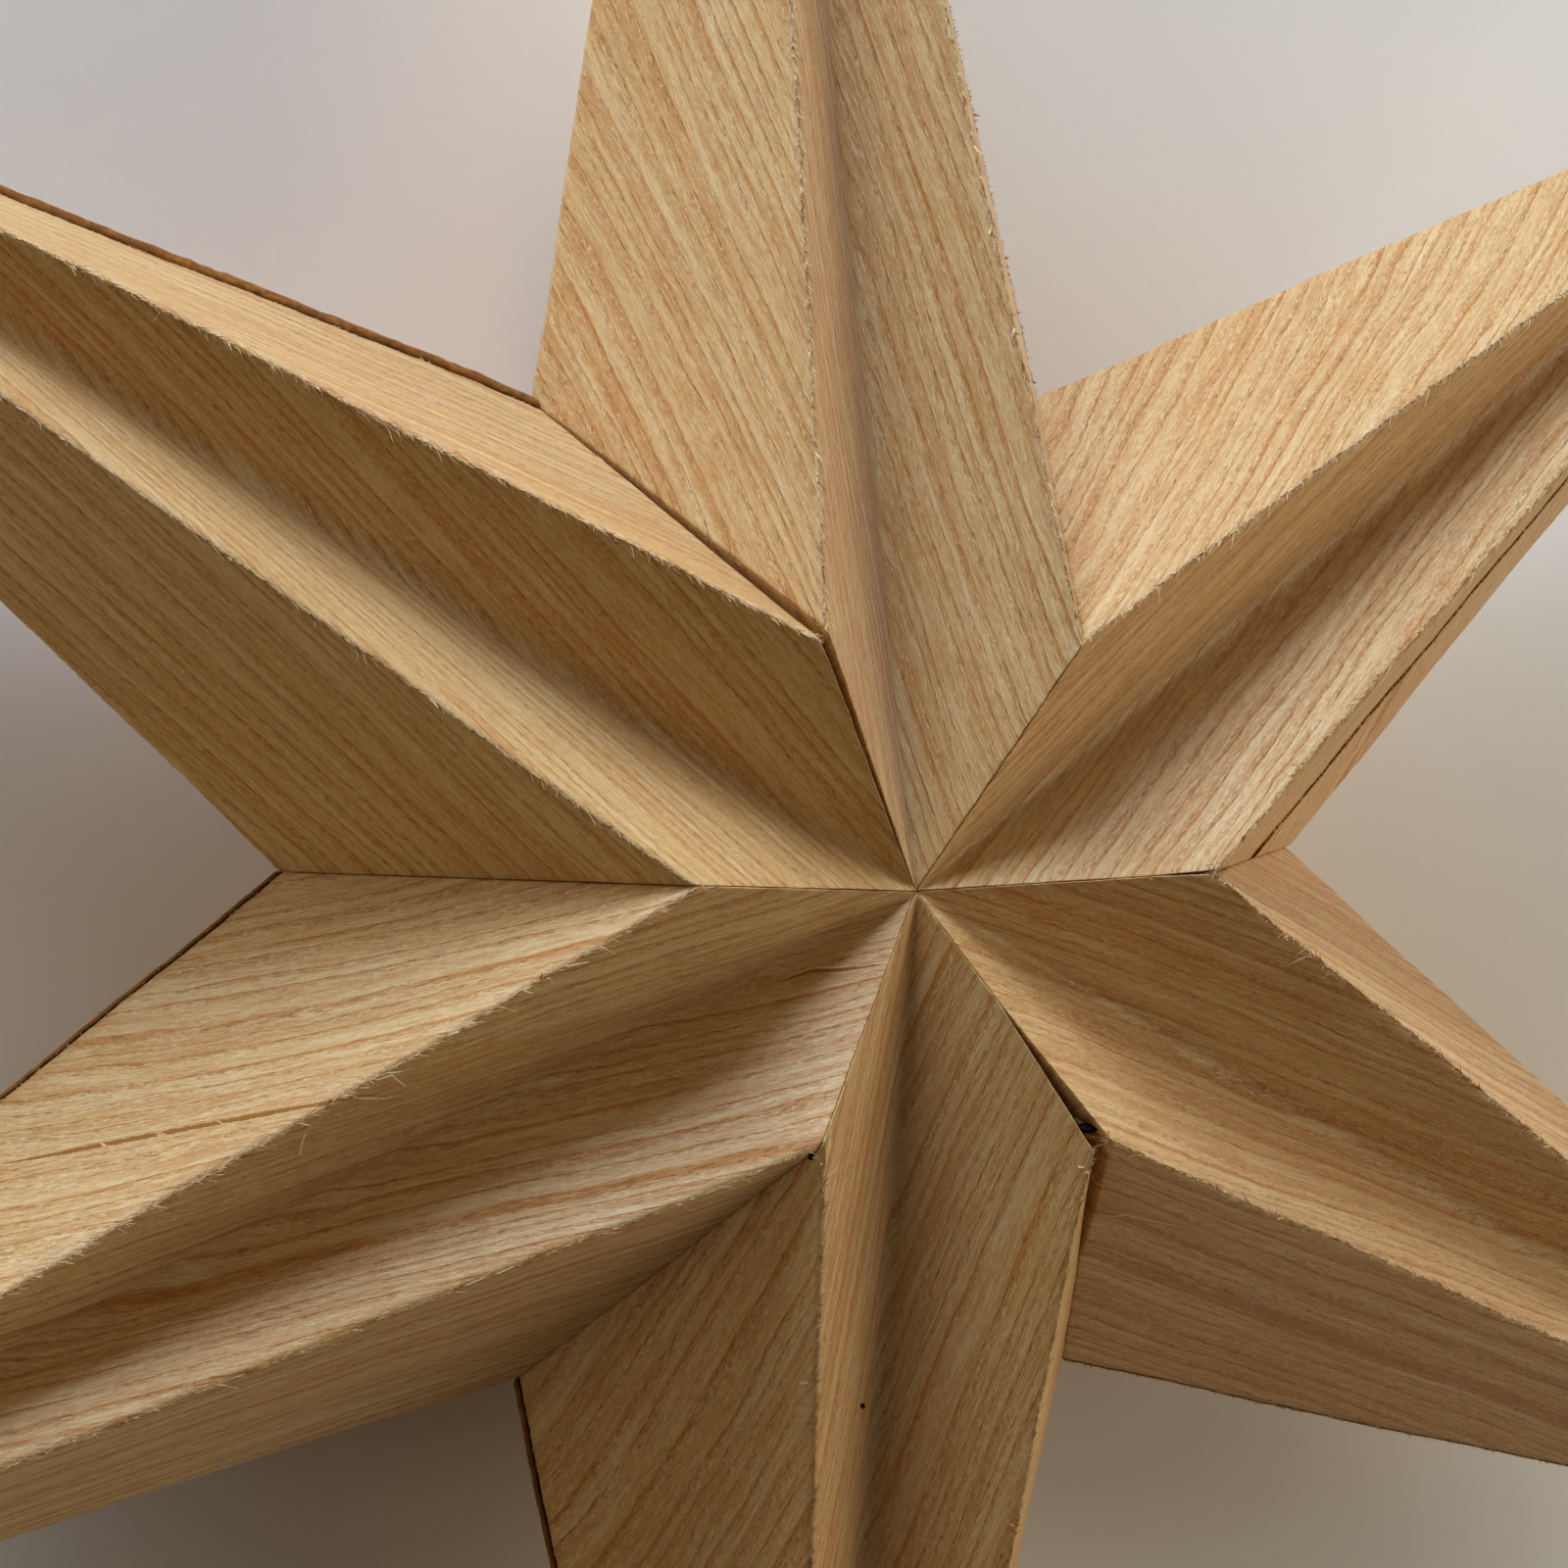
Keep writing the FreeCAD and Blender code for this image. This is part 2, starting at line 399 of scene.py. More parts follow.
@dataclass(frozen=True)
class VeneerFinish:
    """Pale open-pored veneer, with growth lines, pores and silky streaks along the grain."""

    pale_fibre_chip_and_highlight: tuple[float, float, float, float] = (0.645, 0.386, 0.116, 1.0)
    warm: tuple[float, float, float, float] = (0.59, 0.292, 0.060, 1.0)
    line: tuple[float, float, float, float] = (0.48, 0.172, 0.014, 1.0)
    pore: tuple[float, float, float, float] = (0.190, 0.058, 0.007, 1.0)
    silk: tuple[float, float, float, float] = (0.81, 0.575, 0.232, 1.0)

    def group(self) -> bpy.types.NodeTree:
        """Builds the grain group once.

        Returns:
            Group with the sheet's own coordinates in and colour, roughness and height out.
        """
        known = bpy.data.node_groups.get("veneer_grain")
        if known:
            return known
        inputs = dict(Sheet="Vector", Seed="Float", Spacing="Float", Wave="Float", Line="Float", Tone="Float")
        outputs = dict(Color="Color", Roughness="Float", Height="Float")
        g, inlet, outlet = start_group("veneer_grain", inputs, outputs)
        figure = GrainFigure(g, inlet)
        line, skirt, strength = figure.growth_lines()
        streak = figure.waves(0.022, 0.50, figure.smooth, 11.0, 2.0, 0.6)
        fibre = figure.waves(0.16, 1.9, figure.smooth, 12.0, 2.0, 0.65)
        hair = figure.waves(0.75, 4.8, figure.smooth, 13.0, 2.0, 0.7)
        fleck = figure.waves(1.5, 4.6, figure.smooth, 23.0, 2.0, 0.7)
        cloud = figure.waves(0.012, 0.05, figure.smooth, 29.0, 2.0)
        busy = g.math("MULTIPLY_ADD", skirt, 0.65, 0.35)
        pores = figure.pores(busy)

        tone = g.math("MULTIPLY_ADD", figure.swing(cloud), 1.1, inlet.outputs["Tone"], clamp=True)
        colour = g.blend(tone, self.pale_fibre_chip_and_highlight, self.warm)
        for mask, share, paint in (
            (g.step(streak, 0.51, 0.64), 0.42, self.line),
            (g.step(streak, 0.48, 0.34), 0.30, self.silk),
            (g.step(fibre, 0.52, 0.62), 0.40, self.line),
            (g.math("MULTIPLY", skirt, strength), 0.42, self.line),
            (g.step(fibre, 0.46, 0.36), 0.22, self.silk),
            (g.math("MULTIPLY", g.step(hair, 0.50, 0.60), busy), 0.60, self.line),
            (g.step(hair, 0.46, 0.36), 0.30, self.silk),
            (g.math("MULTIPLY", g.step(fleck, 0.57, 0.66), busy), 0.75, self.silk),
            (line, 0.95, self.line),
            (pores, 0.50, self.pore),
        ):
            colour = g.blend(g.math("MULTIPLY", mask, share), colour, paint)
        g.wire(colour, outlet.inputs["Color"])

        rough = g.math("MULTIPLY_ADD", hair, 0.22, 0.46)
        rough = g.math("MULTIPLY_ADD", line, 0.14, rough, clamp=True)
        g.wire(rough, outlet.inputs["Roughness"])
        height = g.math("MULTIPLY_ADD", hair, 0.45, g.math("MULTIPLY", fibre, 0.3))
        height = g.math("MULTIPLY_ADD", pores, -0.9, height)
        height = g.math("MULTIPLY_ADD", line, -0.35, height)
        g.wire(height, outlet.inputs["Height"])
        return g.tree

    def wear(self) -> bpy.types.NodeTree:
        """Builds the fold wear group once.

        Returns:
            Group with distances from fold and edge in millimetres in, and two masks out.
        """
        known = bpy.data.node_groups.get("fold_wear")
        if known:
            return known
        inputs = dict(Distance="Vector", Sheet="Vector")
        g, inlet, outlet = start_group("fold_wear", inputs, dict(Raised="Float", Rubbed="Float"))
        split = g.add("ShaderNodeSeparateXYZ")
        g.wire(inlet.outputs["Distance"], split.inputs[0])
        rag = g.noise(inlet.outputs["Sheet"], 3.0, 0.7, 210.0)
        patch = g.noise(inlet.outputs["Sheet"], 2.0, 0.5, 30.0)
        reach = g.math("MULTIPLY_ADD", g.step(rag, 0.35, 0.70), 0.55, 0.10)
        fold = g.math("MULTIPLY", g.step(split.outputs[0], reach, 0.0), g.step(patch, 0.25, 0.60))
        edge = g.math("MULTIPLY", g.step(split.outputs[1], reach, 0.0), g.step(patch, 0.35, 0.60))
        g.wire(fold, outlet.inputs["Raised"])
        g.wire(edge, outlet.inputs["Rubbed"])
        return g.tree

    def material(self, name: str, cut: VeneerCut) -> bpy.types.Material:
        """Builds the veneer of one arm.

        Args:
            name: Material's name.
            cut: Grain and figure of that piece of veneer.

        Returns:
            The material.
        """
        paint = bpy.data.materials.new(name)
        paint.use_nodes = True
        g = Graph(paint.node_tree)
        shader = paint.node_tree.nodes["Principled BSDF"]
        sheet = g.add("ShaderNodeUVMap", uv_map="sheet")
        grain = g.add("ShaderNodeGroup")
        grain.node_tree = self.group()
        g.wire(sheet.outputs[0], grain.inputs["Sheet"])
        for socket, value in (
            ("Seed", cut.seed),
            ("Spacing", cut.spacing),
            ("Wave", cut.wave),
            ("Line", cut.line),
            ("Tone", cut.tone),
        ):
            grain.inputs[socket].default_value = value
        place = g.add("ShaderNodeUVMap", uv_map="wear")
        wear = g.add("ShaderNodeGroup")
        wear.node_tree = self.wear()
        g.wire(place.outputs[0], wear.inputs["Distance"])
        g.wire(sheet.outputs[0], wear.inputs["Sheet"])
        colour = grain.outputs["Color"]
        for worn, share in (("Raised", 0.62), ("Rubbed", 0.55)):
            colour = g.blend(g.math("MULTIPLY", wear.outputs[worn], share), colour, self.silk)
        bump = g.add("ShaderNodeBump")
        bump.inputs["Strength"].default_value = 0.6
        bump.inputs["Distance"].default_value = 0.00012
        height = g.math("MULTIPLY_ADD", wear.outputs["Raised"], 1.4, grain.outputs["Height"])
        g.wire(height, bump.inputs["Height"])
        g.wire(colour, shader.inputs["Base Color"])
        g.wire(grain.outputs["Roughness"], shader.inputs["Roughness"])
        g.wire(bump.outputs[0], shader.inputs["Normal"])
        shader.inputs["Specular IOR Level"].default_value = 0.36
        shader.inputs["Sheen Weight"].default_value = 0.08
        shader.inputs["Sheen Roughness"].default_value = 0.45
        return paint


@dataclass(frozen=True)
class CutEdgeAndRimShadeFinish:
    """Sawn or torn edge of the sheet: brown, matt and fibrous. On the rim band the same dark brown is painted
    shade of the back flank's inner face, partly glue stain.
    """

    name: str = "veneer_cut_edge_and_rim_shade"
    dark: tuple[float, float, float, float] = (0.19, 0.058, 0.005, 1.0)
    light: tuple[float, float, float, float] = (0.43, 0.160, 0.014, 1.0)

    def material(self) -> bpy.types.Material:
        """Builds the finish once.

        Returns:
            The material.
        """
        known = bpy.data.materials.get(self.name)
        if known:
            return known
        paint = bpy.data.materials.new(self.name)
        paint.use_nodes = True
        g = Graph(paint.node_tree)
        shader = paint.node_tree.nodes["Principled BSDF"]
        where = g.add("ShaderNodeTexCoord")
        coarse = g.noise(where.outputs["Object"], 3.0, 0.6, 900.0)
        patchy = g.noise(where.outputs["Object"], 2.0, 0.5, 120.0)
        share = g.math("MULTIPLY", g.step(coarse, 0.35, 0.70), g.step(patchy, 0.25, 0.75))
        g.wire(g.blend(share, self.dark, self.light), shader.inputs["Base Color"])
        shader.inputs["Roughness"].default_value = 0.85
        shader.inputs["Specular IOR Level"].default_value = 0.2
        bump = g.add("ShaderNodeBump")
        bump.inputs["Strength"].default_value = 0.8
        bump.inputs["Distance"].default_value = 0.0002
        g.wire(coarse, bump.inputs["Height"])
        g.wire(bump.outputs[0], shader.inputs["Normal"])
        return paint


@dataclass(frozen=True)
class FibreFinish:
    """Loose fibres: pale and varied in tone."""

    name: str = "loose_fibre"
    dark: tuple[float, float, float, float] = (0.52, 0.27, 0.07, 1.0)
    light: tuple[float, float, float, float] = (0.80, 0.56, 0.22, 1.0)

    def material(self) -> bpy.types.Material:
        """Builds the finish once.

        Returns:
            The material.
        """
        known = bpy.data.materials.get(self.name)
        if known:
            return known
        paint = bpy.data.materials.new(self.name)
        paint.use_nodes = True
        g = Graph(paint.node_tree)
        shader = paint.node_tree.nodes["Principled BSDF"]
        where = g.add("ShaderNodeTexCoord")
        tone = g.noise(where.outputs["Object"], 1.0, 0.5, 700.0)
        g.wire(g.blend(g.step(tone, 0.3, 0.7), self.dark, self.light), shader.inputs["Base Color"])
        shader.inputs["Roughness"].default_value = 0.7
        return paint


@dataclass(frozen=True)
class FloorFinish:
    """Plain pale matt floor."""

    base: tuple[float, float, float, float] = (0.94, 0.866, 0.622, 1.0)

    def material(self) -> bpy.types.Material:
        """Builds the floor's finish.

        Returns:
            The material.
        """
        paint = bpy.data.materials.new("pale_floor")
        paint.use_nodes = True
        g = Graph(paint.node_tree)
        shader = paint.node_tree.nodes["Principled BSDF"]
        where = g.add("ShaderNodeTexCoord")
        grit = g.noise(where.outputs["Object"], 3.0, 0.6, 500.0)
        cloud = g.noise(where.outputs["Object"], 2.0, 0.5, 9.0)
        share = g.math("MULTIPLY_ADD", grit, 0.10, g.math("MULTIPLY", cloud, 0.10))
        darker = tuple(0.85 * value for value in self.base[:3]) + (1.0,)
        g.wire(g.blend(share, self.base, darker), shader.inputs["Base Color"])
        shader.inputs["Roughness"].default_value = 0.8
        bump = g.add("ShaderNodeBump")
        bump.inputs["Strength"].default_value = 0.12
        bump.inputs["Distance"].default_value = 0.0002
        g.wire(grit, bump.inputs["Height"])
        g.wire(bump.outputs[0], shader.inputs["Normal"])
        return paint


@dataclass(frozen=True)
class Eye:
    """The photograph's point of view, from the hub, and its frame of 1600 by 1600 points."""

    offset: tuple[float, float, float] = (-269.3 * MM, 15.2 * MM, 560.9 * MM)
    right: tuple[float, float, float] = (0.90182, -0.00901, 0.43201)
    up: tuple[float, float, float] = (0.01118, 0.99993, -0.00248)
    lens: float = 135.0
    film: float = 36.0
    frame: float = 1600.0

    def axes(self) -> tuple[Vector, Vector, Vector]:
        """Squares up the directions of view.

        Returns:
            Right, up and back, at right angles to each other.
        """
        right = Vector(self.right).normalized()
        back = right.cross(Vector(self.up)).normalized()
        return right, back.cross(right).normalized(), back

    def way(self, x: float, y: float) -> Vector:
        """Finds the sight line through a point of the frame.

        Args:
            x: Points from the left.
            y: Points from the top.

        Returns:
            Its direction.
        """
        right, up, back = self.axes()
        across = (x / self.frame - 0.5) * self.film
        rise = (0.5 - y / self.frame) * self.film
        return (right * across + up * rise - back * self.lens).normalized()


def unit_rows(vectors: np.ndarray) -> np.ndarray:
    """Rows of an array scaled to length 1."""
    return vectors / np.maximum(np.linalg.norm(vectors, axis=-1, keepdims=True), 1e-12)


def wavy(where: np.ndarray, lengths: tuple[float, ...], rng: np.random.Generator) -> np.ndarray:
    """Smooth random curve between about -1 and 1.

    Args:
        where: Places along it.
        lengths: Wave lengths that it is made of.
        rng: Seeded source of the phases.

    Returns:
        Its value at each place.
    """
    total = np.zeros_like(where)
    for length in lengths:
        total += np.sin(2 * np.pi * (where / length + rng.random())) / len(lengths)
    return total


def grid_faces(number: np.ndarray) -> np.ndarray:
    """Four-cornered faces between neighbouring rows and columns.

    Args:
        number: Grid of the points' numbers.

    Returns:
        Grid of faces, each with its four numbers.
    """
    return np.stack((number[:-1, :-1], number[1:, :-1], number[1:, 1:], number[:-1, 1:]), axis=-1)


@dataclass
class FoldedArm:
    """One arm: a sheet folded to a tapering tube with a valley in front and behind."""

    name: str
    direction: float
    left: Seam
    right: Seam
    closing: Closing
    cut: VeneerCut
    hub: Vector
    sizes: StarSizes = field(default_factory=StarSizes)
    uneven: Unevenness = field(default_factory=Unevenness)
    rows: int = 135
    front_steps: int = 16
    back_steps: int = 5
    bend_steps: int = 5
    crowding: float = 1.15
    edge_rounding: float = 0.22 * MM
    edge_rows: tuple[float, ...] = (0.0, 0.25 * MM, 0.6 * MM, 1.2 * MM, 2.2 * MM)
    flap_rows: tuple[float, ...] = (1.0 * MM, 0.45 * MM)
    crease_ply: float = 0.3
    near_ply: float = 0.6

    def __post_init__(self) -> None:
        """Works out the mitre angles, the fold lines' starts and the stops around the sheet."""
        self.rng = np.random.default_rng(int(self.cut.seed * 100))
        self.alpha = {
            Side.LEFT: math.radians((self.left.angle - self.direction) % 360.0),
            Side.RIGHT: math.radians((self.direction - self.right.angle) % 360.0),
        }
        s = self.sizes
        corners = [
            self._on_seam(Side.RIGHT, self.right.notch_radius, 0.0),
            self._on_seam(Side.RIGHT, s.junction_radius, s.junction_height),
            (0.0, 0.0, s.centre_height),
            self._on_seam(Side.LEFT, s.junction_radius, s.junction_height),
            self._on_seam(Side.LEFT, self.left.notch_radius, 0.0),
        ]
        corners += [(x, y, -z) for x, y, z in reversed(corners[1:4])]
        self.starts = np.array(corners)
        self.tip = np.array((s.tip_radius, 0.0, -s.tip_drop))
        self.phases = self.rng.random((8, 5, 2))
        self._lay_stops()

    def _on_seam(self, side: Side, radius: float, height: float) -> tuple[float, float, float]:
        """Point on a mitre plane by its radius and height, in the arm's frame."""
        angle = self.alpha[side] * side.value
        return (radius * math.cos(angle), radius * math.sin(angle), height)

    def _lay_stops(self) -> None:
        """Lists the stops around the sheet: face or corner, share along it, and which."""
        stops = []
        last = 9 if self.closing is Closing.LAP else 8
        for face in range(last):
            steps = self.front_steps if face % 8 < FRONT_CORNERS - 1 else self.back_steps
            stops += [(face, step / steps, 0) for step in range(steps + 1)]
            if face < last - 1:
                bend = face + 1
                stops += [(bend, step / self.bend_steps, 1) for step in range(1, self.bend_steps)]
        table = np.array(stops)
        self.face = table[:, 0].astype(int)
        self.share = table[:, 1]
        self.bent = table[:, 2] > 0
        past = self.face + np.where(self.bent, self.share - 0.5, 0.5)
        self.side = np.where((past > 2.0) & (past < 6.0), 1, -1)

    def _corners(self, x: np.ndarray) -> np.ndarray:
        """Corners of the folded outline.

        Args:
            x: Distance out from the hub axis at each stop.

        Returns:
            Array of (y, z) for each stop and each of the eight corners.
        """
        share = (x[:, None] - self.starts[:, 0]) / (self.tip[0] - self.starts[:, 0])
        flat = self.starts[:, 1:] + (self.tip[1:] - self.starts[:, 1:]) * share[..., None]
        waves = np.array(self.uneven.fold_waves)
        swings = np.array(self.uneven.fold_swings)
        turns = x[:, None, None, None] / waves[:, None] + self.phases[None]
        fade = np.clip(1.0 - x / self.tip[0], 0.0, 1.0)[:, None, None]
        shake = (np.sin(2 * np.pi * turns) * swings[:, None]).sum(axis=2) * fade
        shake[:, 2] *= self.uneven.front_valley_share
        out = np.clip((x - self.right.notch_radius) / (self.tip[0] - self.right.notch_radius), 0.0, 1.0)
        shake[:, 0, 0] += self.cut.hollow * np.sin(np.pi * out)
        return flat + shake

    def _setbacks(self, x: np.ndarray) -> np.ndarray:
        """Works out how far each fold's rounding reaches from its corner.

        Args:
            x: Distance out from the hub axis at each stop.

        Returns:
            Array of reaches, for each stop and each of the eight corners.
        """
        out = np.clip(x / self.tip[0], 0.0, 1.0)
        ridge = 0.55 * MM + 0.75 * MM * np.clip(x / (75 * MM), 0.0, 1.0) * (1.0 - out) ** 0.5
        valley = (0.5 + 1.3 * np.clip(x / (70 * MM), 0.0, 1.0) ** 1.2) * MM
        valley = np.minimum(valley, 0.20 * (self.tip[0] - x) * 0.25 + 0.1 * MM)
        table = np.repeat(ridge[:, None], 8, axis=1)
        table[:, 2] = valley
        table[:, 6] = valley
        return table

    def section(self, x: np.ndarray) -> np.ndarray:
        """Places of the stops.

        Args:
            x: Distance out from the hub axis for each stop.

        Returns:
            Array of (x, y, z) in the arm's frame.
        """
        s = self.sizes
        corners = self._corners(x)
        setbacks = self._setbacks(x)
        every = np.arange(len(x))
        this, following, previous = self.face % 8, (self.face + 1) % 8, (self.face - 1) % 8
        here, there, before = corners[every, this], corners[every, following], corners[every, previous]
        ahead = unit_rows(there - here)
        behind = unit_rows(before - here)
        length = np.linalg.norm(there - here, axis=1)
        begin = setbacks[every, this]
        end = length - setbacks[every, following]
        first = self.face == 0
        if self.closing is Closing.SLIT:
            begin = np.where(first, self.cut.slit * np.clip((self.tip[0] - x) / (40 * MM), 0.0, 1.0), begin)
            end = np.where(self.face == 7, length, end)
        else:
            begin = np.where(first, 0.12 * length, begin)
            grown = np.clip(x / s.lap_length, 0.0, 1.15)
            climb = s.lap_start + (s.lap_end - s.lap_start) * grown
            end = np.where(self.face == 8, length * climb, end)
        straight = here + ahead * (begin + (end - begin) * self.share)[:, None]
        setback = setbacks[every, this][:, None]
        w = self.share[:, None]
        arc = here + behind * setback * (1 - w) ** 2 + ahead * setback * w**2
        flat = np.where(self.bent[:, None], arc, straight)
        if self.closing is Closing.LAP:
            flat = self._lift_lap(flat, here, ahead, x)
        return np.column_stack((x, flat))

    def _lift_lap(
        self, flat: np.ndarray, here: np.ndarray, ahead: np.ndarray, x: np.ndarray
    ) -> np.ndarray:
        """Lifts the closing ply off the flank that it covers.

        Args:
            flat: Places of the stops in the section.
            here: Corner that each stop's face starts at; not used.
            ahead: Direction of each stop's face.
            x: Distance out from the hub axis for each stop.

        Returns:
            The lifted places.
        """
        outward = np.column_stack((-ahead[:, 1], ahead[:, 0]))
        on_ply = self.face == 8
        loose = 0.22 * MM + 0.14 * MM * self.share**2 * (0.5 + 0.5 * np.sin(x / (17 * MM)))
        thin = np.clip((self.tip[0] - x) / (60 * MM), 0.0, 1.0)
        lift = np.where(on_ply, loose, 0.0)
        lift = np.where((self.face == 7) & ~self.bent, 0.22 * MM * self.share**3, lift)
        return flat + outward * (lift * thin)[:, None]

    def _gaps(self) -> np.ndarray:
        """Works out how far each stop's mitred edge stays clear of its mitre plane.

        Returns:
            The clearance of each stop.
        """
        places = np.arange(len(self.face), dtype=float)
        ragged = np.abs(wavy(places, self.uneven.seam_waves_in_stops, self.rng))
        gap = self.uneven.seam_gap + ragged * self.uneven.seam_ragged
        for seam, wall, flank, side in ((self.left, 2, 3, 1), (self.right, 1, 0, -1)):
            if seam.gape <= 0:
                continue
            to_crest = self.share if side > 0 else 1.0 - self.share
            on_wall = np.clip((to_crest - seam.wall_from) / (1 - seam.wall_from), 0, 1)
            on_flank = np.clip((1.0 - to_crest - seam.flank_from) / (1 - seam.flank_from), 0, 1) ** 0.6
            opened = np.where(self.face == wall, on_wall, 0.0)
            opened = np.where(self.face == flank, on_flank, opened)
            crest = self.bent & (self.face == (3 if side > 0 else 1))
            opened = np.where(crest, 1.0, opened)
            gap = gap + np.where(self.bent & ~crest, 0.0, opened) * seam.gape / 2.0
        return gap

    def _mitre(self, gaps: np.ndarray) -> np.ndarray:
        """Finds where each stop's line leaves its mitre plane.

        Args:
            gaps: Clearance of each stop from the plane.

        Returns:
            Distance out from the hub axis for each stop.
        """
        angle = np.where(self.side > 0, self.alpha[Side.LEFT], self.alpha[Side.RIGHT])
        low = np.full(len(gaps), -2.0 * MM)
        high = np.full(len(gaps), 120.0 * MM)
        for _ in range(42):
            middle = (low + high) / 2
            place = self.section(middle)
            over = place[:, 1] * self.side * np.cos(angle) + gaps - middle * np.sin(angle)
            low = np.where(over > 0, middle, low)
            high = np.where(over > 0, high, middle)
        return (low + high) / 2

    def _flap_way(self, edge: np.ndarray) -> np.ndarray:
        """Inward direction of the turned-in flap at each stop, lying in its mitre plane.

        Args:
            edge: Places of the mitred edge.

        Returns:
            Unit vectors in the arm's frame.
        """
        angle = np.where(self.side > 0, self.alpha[Side.LEFT], -self.alpha[Side.RIGHT])
        out = np.column_stack((np.cos(angle), np.sin(angle)))
        radius = (edge[:, :2] * out).sum(axis=1)
        flat = np.column_stack((radius, edge[:, 2]))
        way = np.zeros_like(flat)
        for side in (1, -1):
            own = np.where(self.side == side)[0]
            for run in np.split(own, np.where(np.diff(own) > 1)[0] + 1):
                along = unit_rows(np.gradient(flat[run], axis=0))
                across = np.column_stack((along[:, 1], -along[:, 0])) * side
                padded = np.pad(across, ((1, 1), (0, 0)), "edge")
                way[run] = unit_rows(padded[:-2] + padded[1:-1] + padded[2:])
        return np.column_stack((out * way[:, :1], way[:, 1:]))

    def grid(self) -> tuple[np.ndarray, np.ndarray]:
        """Places and sheet coordinates of the arm's outer surface.

        Returns:
            Places as rows along the arm by stops around it, and the matching run of
            the sheet's own length that each row has beyond its mitred edge.
        """
        gaps = self._gaps()
        start = self._mitre(gaps)
        end = self.tip[0] * (1.0 - self.sizes.tip_share)
        near = np.array(self.edge_rows)
        far = np.linspace(0.0, 1.0, self.rows) ** self.crowding
        edge = self.section(start)
        way = self._flap_way(edge)
        along = unit_rows(self.tip - edge)
        rows, beyond = [], []
        for depth in (self.sizes.flap, 0.45 * self.sizes.flap, *self.flap_rows):
            rows.append(edge + way * depth)
            beyond.append(depth)
        soft = self.edge_rounding
        for angle in (90.0, 60.0, 30.0):
            c, s = math.cos(math.radians(angle)), math.sin(math.radians(angle))
            rows.append(edge + along * soft * (1 - s) + way * soft * (1 - c))
            beyond.append(0.0)
        for step in near[1:]:
            rows.append(self.section(start + step))
            beyond.append(0.0)
        for share in far[1:]:
            rows.append(self.section(start + near[-1] + (end - start - near[-1]) * share))
            beyond.append(0.0)
        return np.array(rows), np.array(beyond)

    def sheet_places(self, places: np.ndarray, beyond: np.ndarray, grain: float) -> np.ndarray:
        """Unfolds the arm about its tip, so that the grain runs on over the folds.

        Args:
            places: Grid of the outer surface.
            beyond: Depth of each row behind the mitred edge.
            grain: Grain angle on the flat sheet, from the way to the tip, in degrees.

        Returns:
            Grid of (along the grain, across it) in decimetres.
        """
        radius = np.linalg.norm(places - self.tip, axis=2)
        first = int(np.argmax(beyond <= 0.0))
        width = np.linalg.norm(np.diff(places, axis=1), axis=2)
        mean = (radius[:, 1:] + radius[:, :-1]) / 2
        turn = np.concatenate((np.zeros((len(places), 1)), np.cumsum(width / mean, axis=1)), axis=1)
        centre = int(np.argmin(np.abs(self.face + self.share * 0.5 - 2.25)))
        turn -= turn[:, centre : centre + 1]
        turn[:first] = turn[first]
        radius[:first] = radius[first] + beyond[:first, None]
        forward, sideways = -radius * np.cos(turn), radius * np.sin(turn)
        angle = math.radians(grain)
        along = forward * math.cos(angle) + sideways * math.sin(angle)
        across = -forward * math.sin(angle) + sideways * math.cos(angle)
        return np.stack((along, across), axis=2) * 10.0

    def place(self, points: np.ndarray) -> np.ndarray:
        """Turns points of the arm's frame to the arm's own direction and place.

        Args:
            points: Points in the arm's frame.

        Returns:
            The same points in the scene, none below the floor.
        """
        turn = math.radians(self.direction)
        c, s = math.cos(turn), math.sin(turn)
        x = points[..., 0] * c - points[..., 1] * s + self.hub.x
        y = points[..., 0] * s + points[..., 1] * c + self.hub.y
        return np.stack((x, y, np.maximum(points[..., 2] + self.hub.z, 0.0)), axis=-1)

    def _warp(self, places: np.ndarray, first: int) -> np.ndarray:
        """Gives the faces the slight unevenness of folded veneer.

        Args:
            places: Grid of the outer surface.
            first: First row that lies on the face.

        Returns:
            The uneven grid.
        """
        ahead = np.gradient(places, axis=0)
        aside = np.gradient(places, axis=1)
        normal = unit_rows(np.cross(aside, ahead))
        x = places[..., 0]
        stop = np.arange(places.shape[1])[None, :] + 0.0 * x
        swell = np.zeros_like(x)
        kind = self.uneven
        for length, count, size in zip(kind.face_waves, kind.face_waves_in_stops, kind.face_swells):
            a, b = self.rng.random(2)
            lengthwise = np.sin(2 * np.pi * (x / length + a))
            swell += size * lengthwise * np.sin(2 * np.pi * (stop / count + b))
        calm = np.clip(np.arange(len(places)) - first, 0, kind.calm_rows)[:, None] / kind.calm_rows
        bow = np.sin(np.pi * self.share) * ~self.bent
        fade = np.clip(1.0 - x / self.tip[0], 0.0, 1.0)
        return places + normal * (swell * calm * bow * fade)[..., None]

    def _wear_places(self, places: np.ndarray) -> np.ndarray:
        """Distance of each point from the nearest raised fold and from its mitred edge.

        Args:
            places: Grid of the outer surface.

        Returns:
            Grid of the two distances in millimetres.
        """
        width = np.linalg.norm(np.diff(places, axis=1), axis=2)
        around = np.concatenate((np.zeros((len(places), 1)), np.cumsum(width, axis=1)), axis=1)
        near = np.full(places.shape[:2], 1.0)
        for corner in (1, 3, 4, 5, 7):
            stops = np.where(self.bent & (self.face == corner))[0]
            middle = int(stops[len(stops) // 2])
            near = np.minimum(near, np.abs(around - around[:, middle : middle + 1]))
        edge = np.linalg.norm(places - places[self.first_row - 1][None], axis=2)
        return np.stack((near / MM, edge / MM), axis=2)

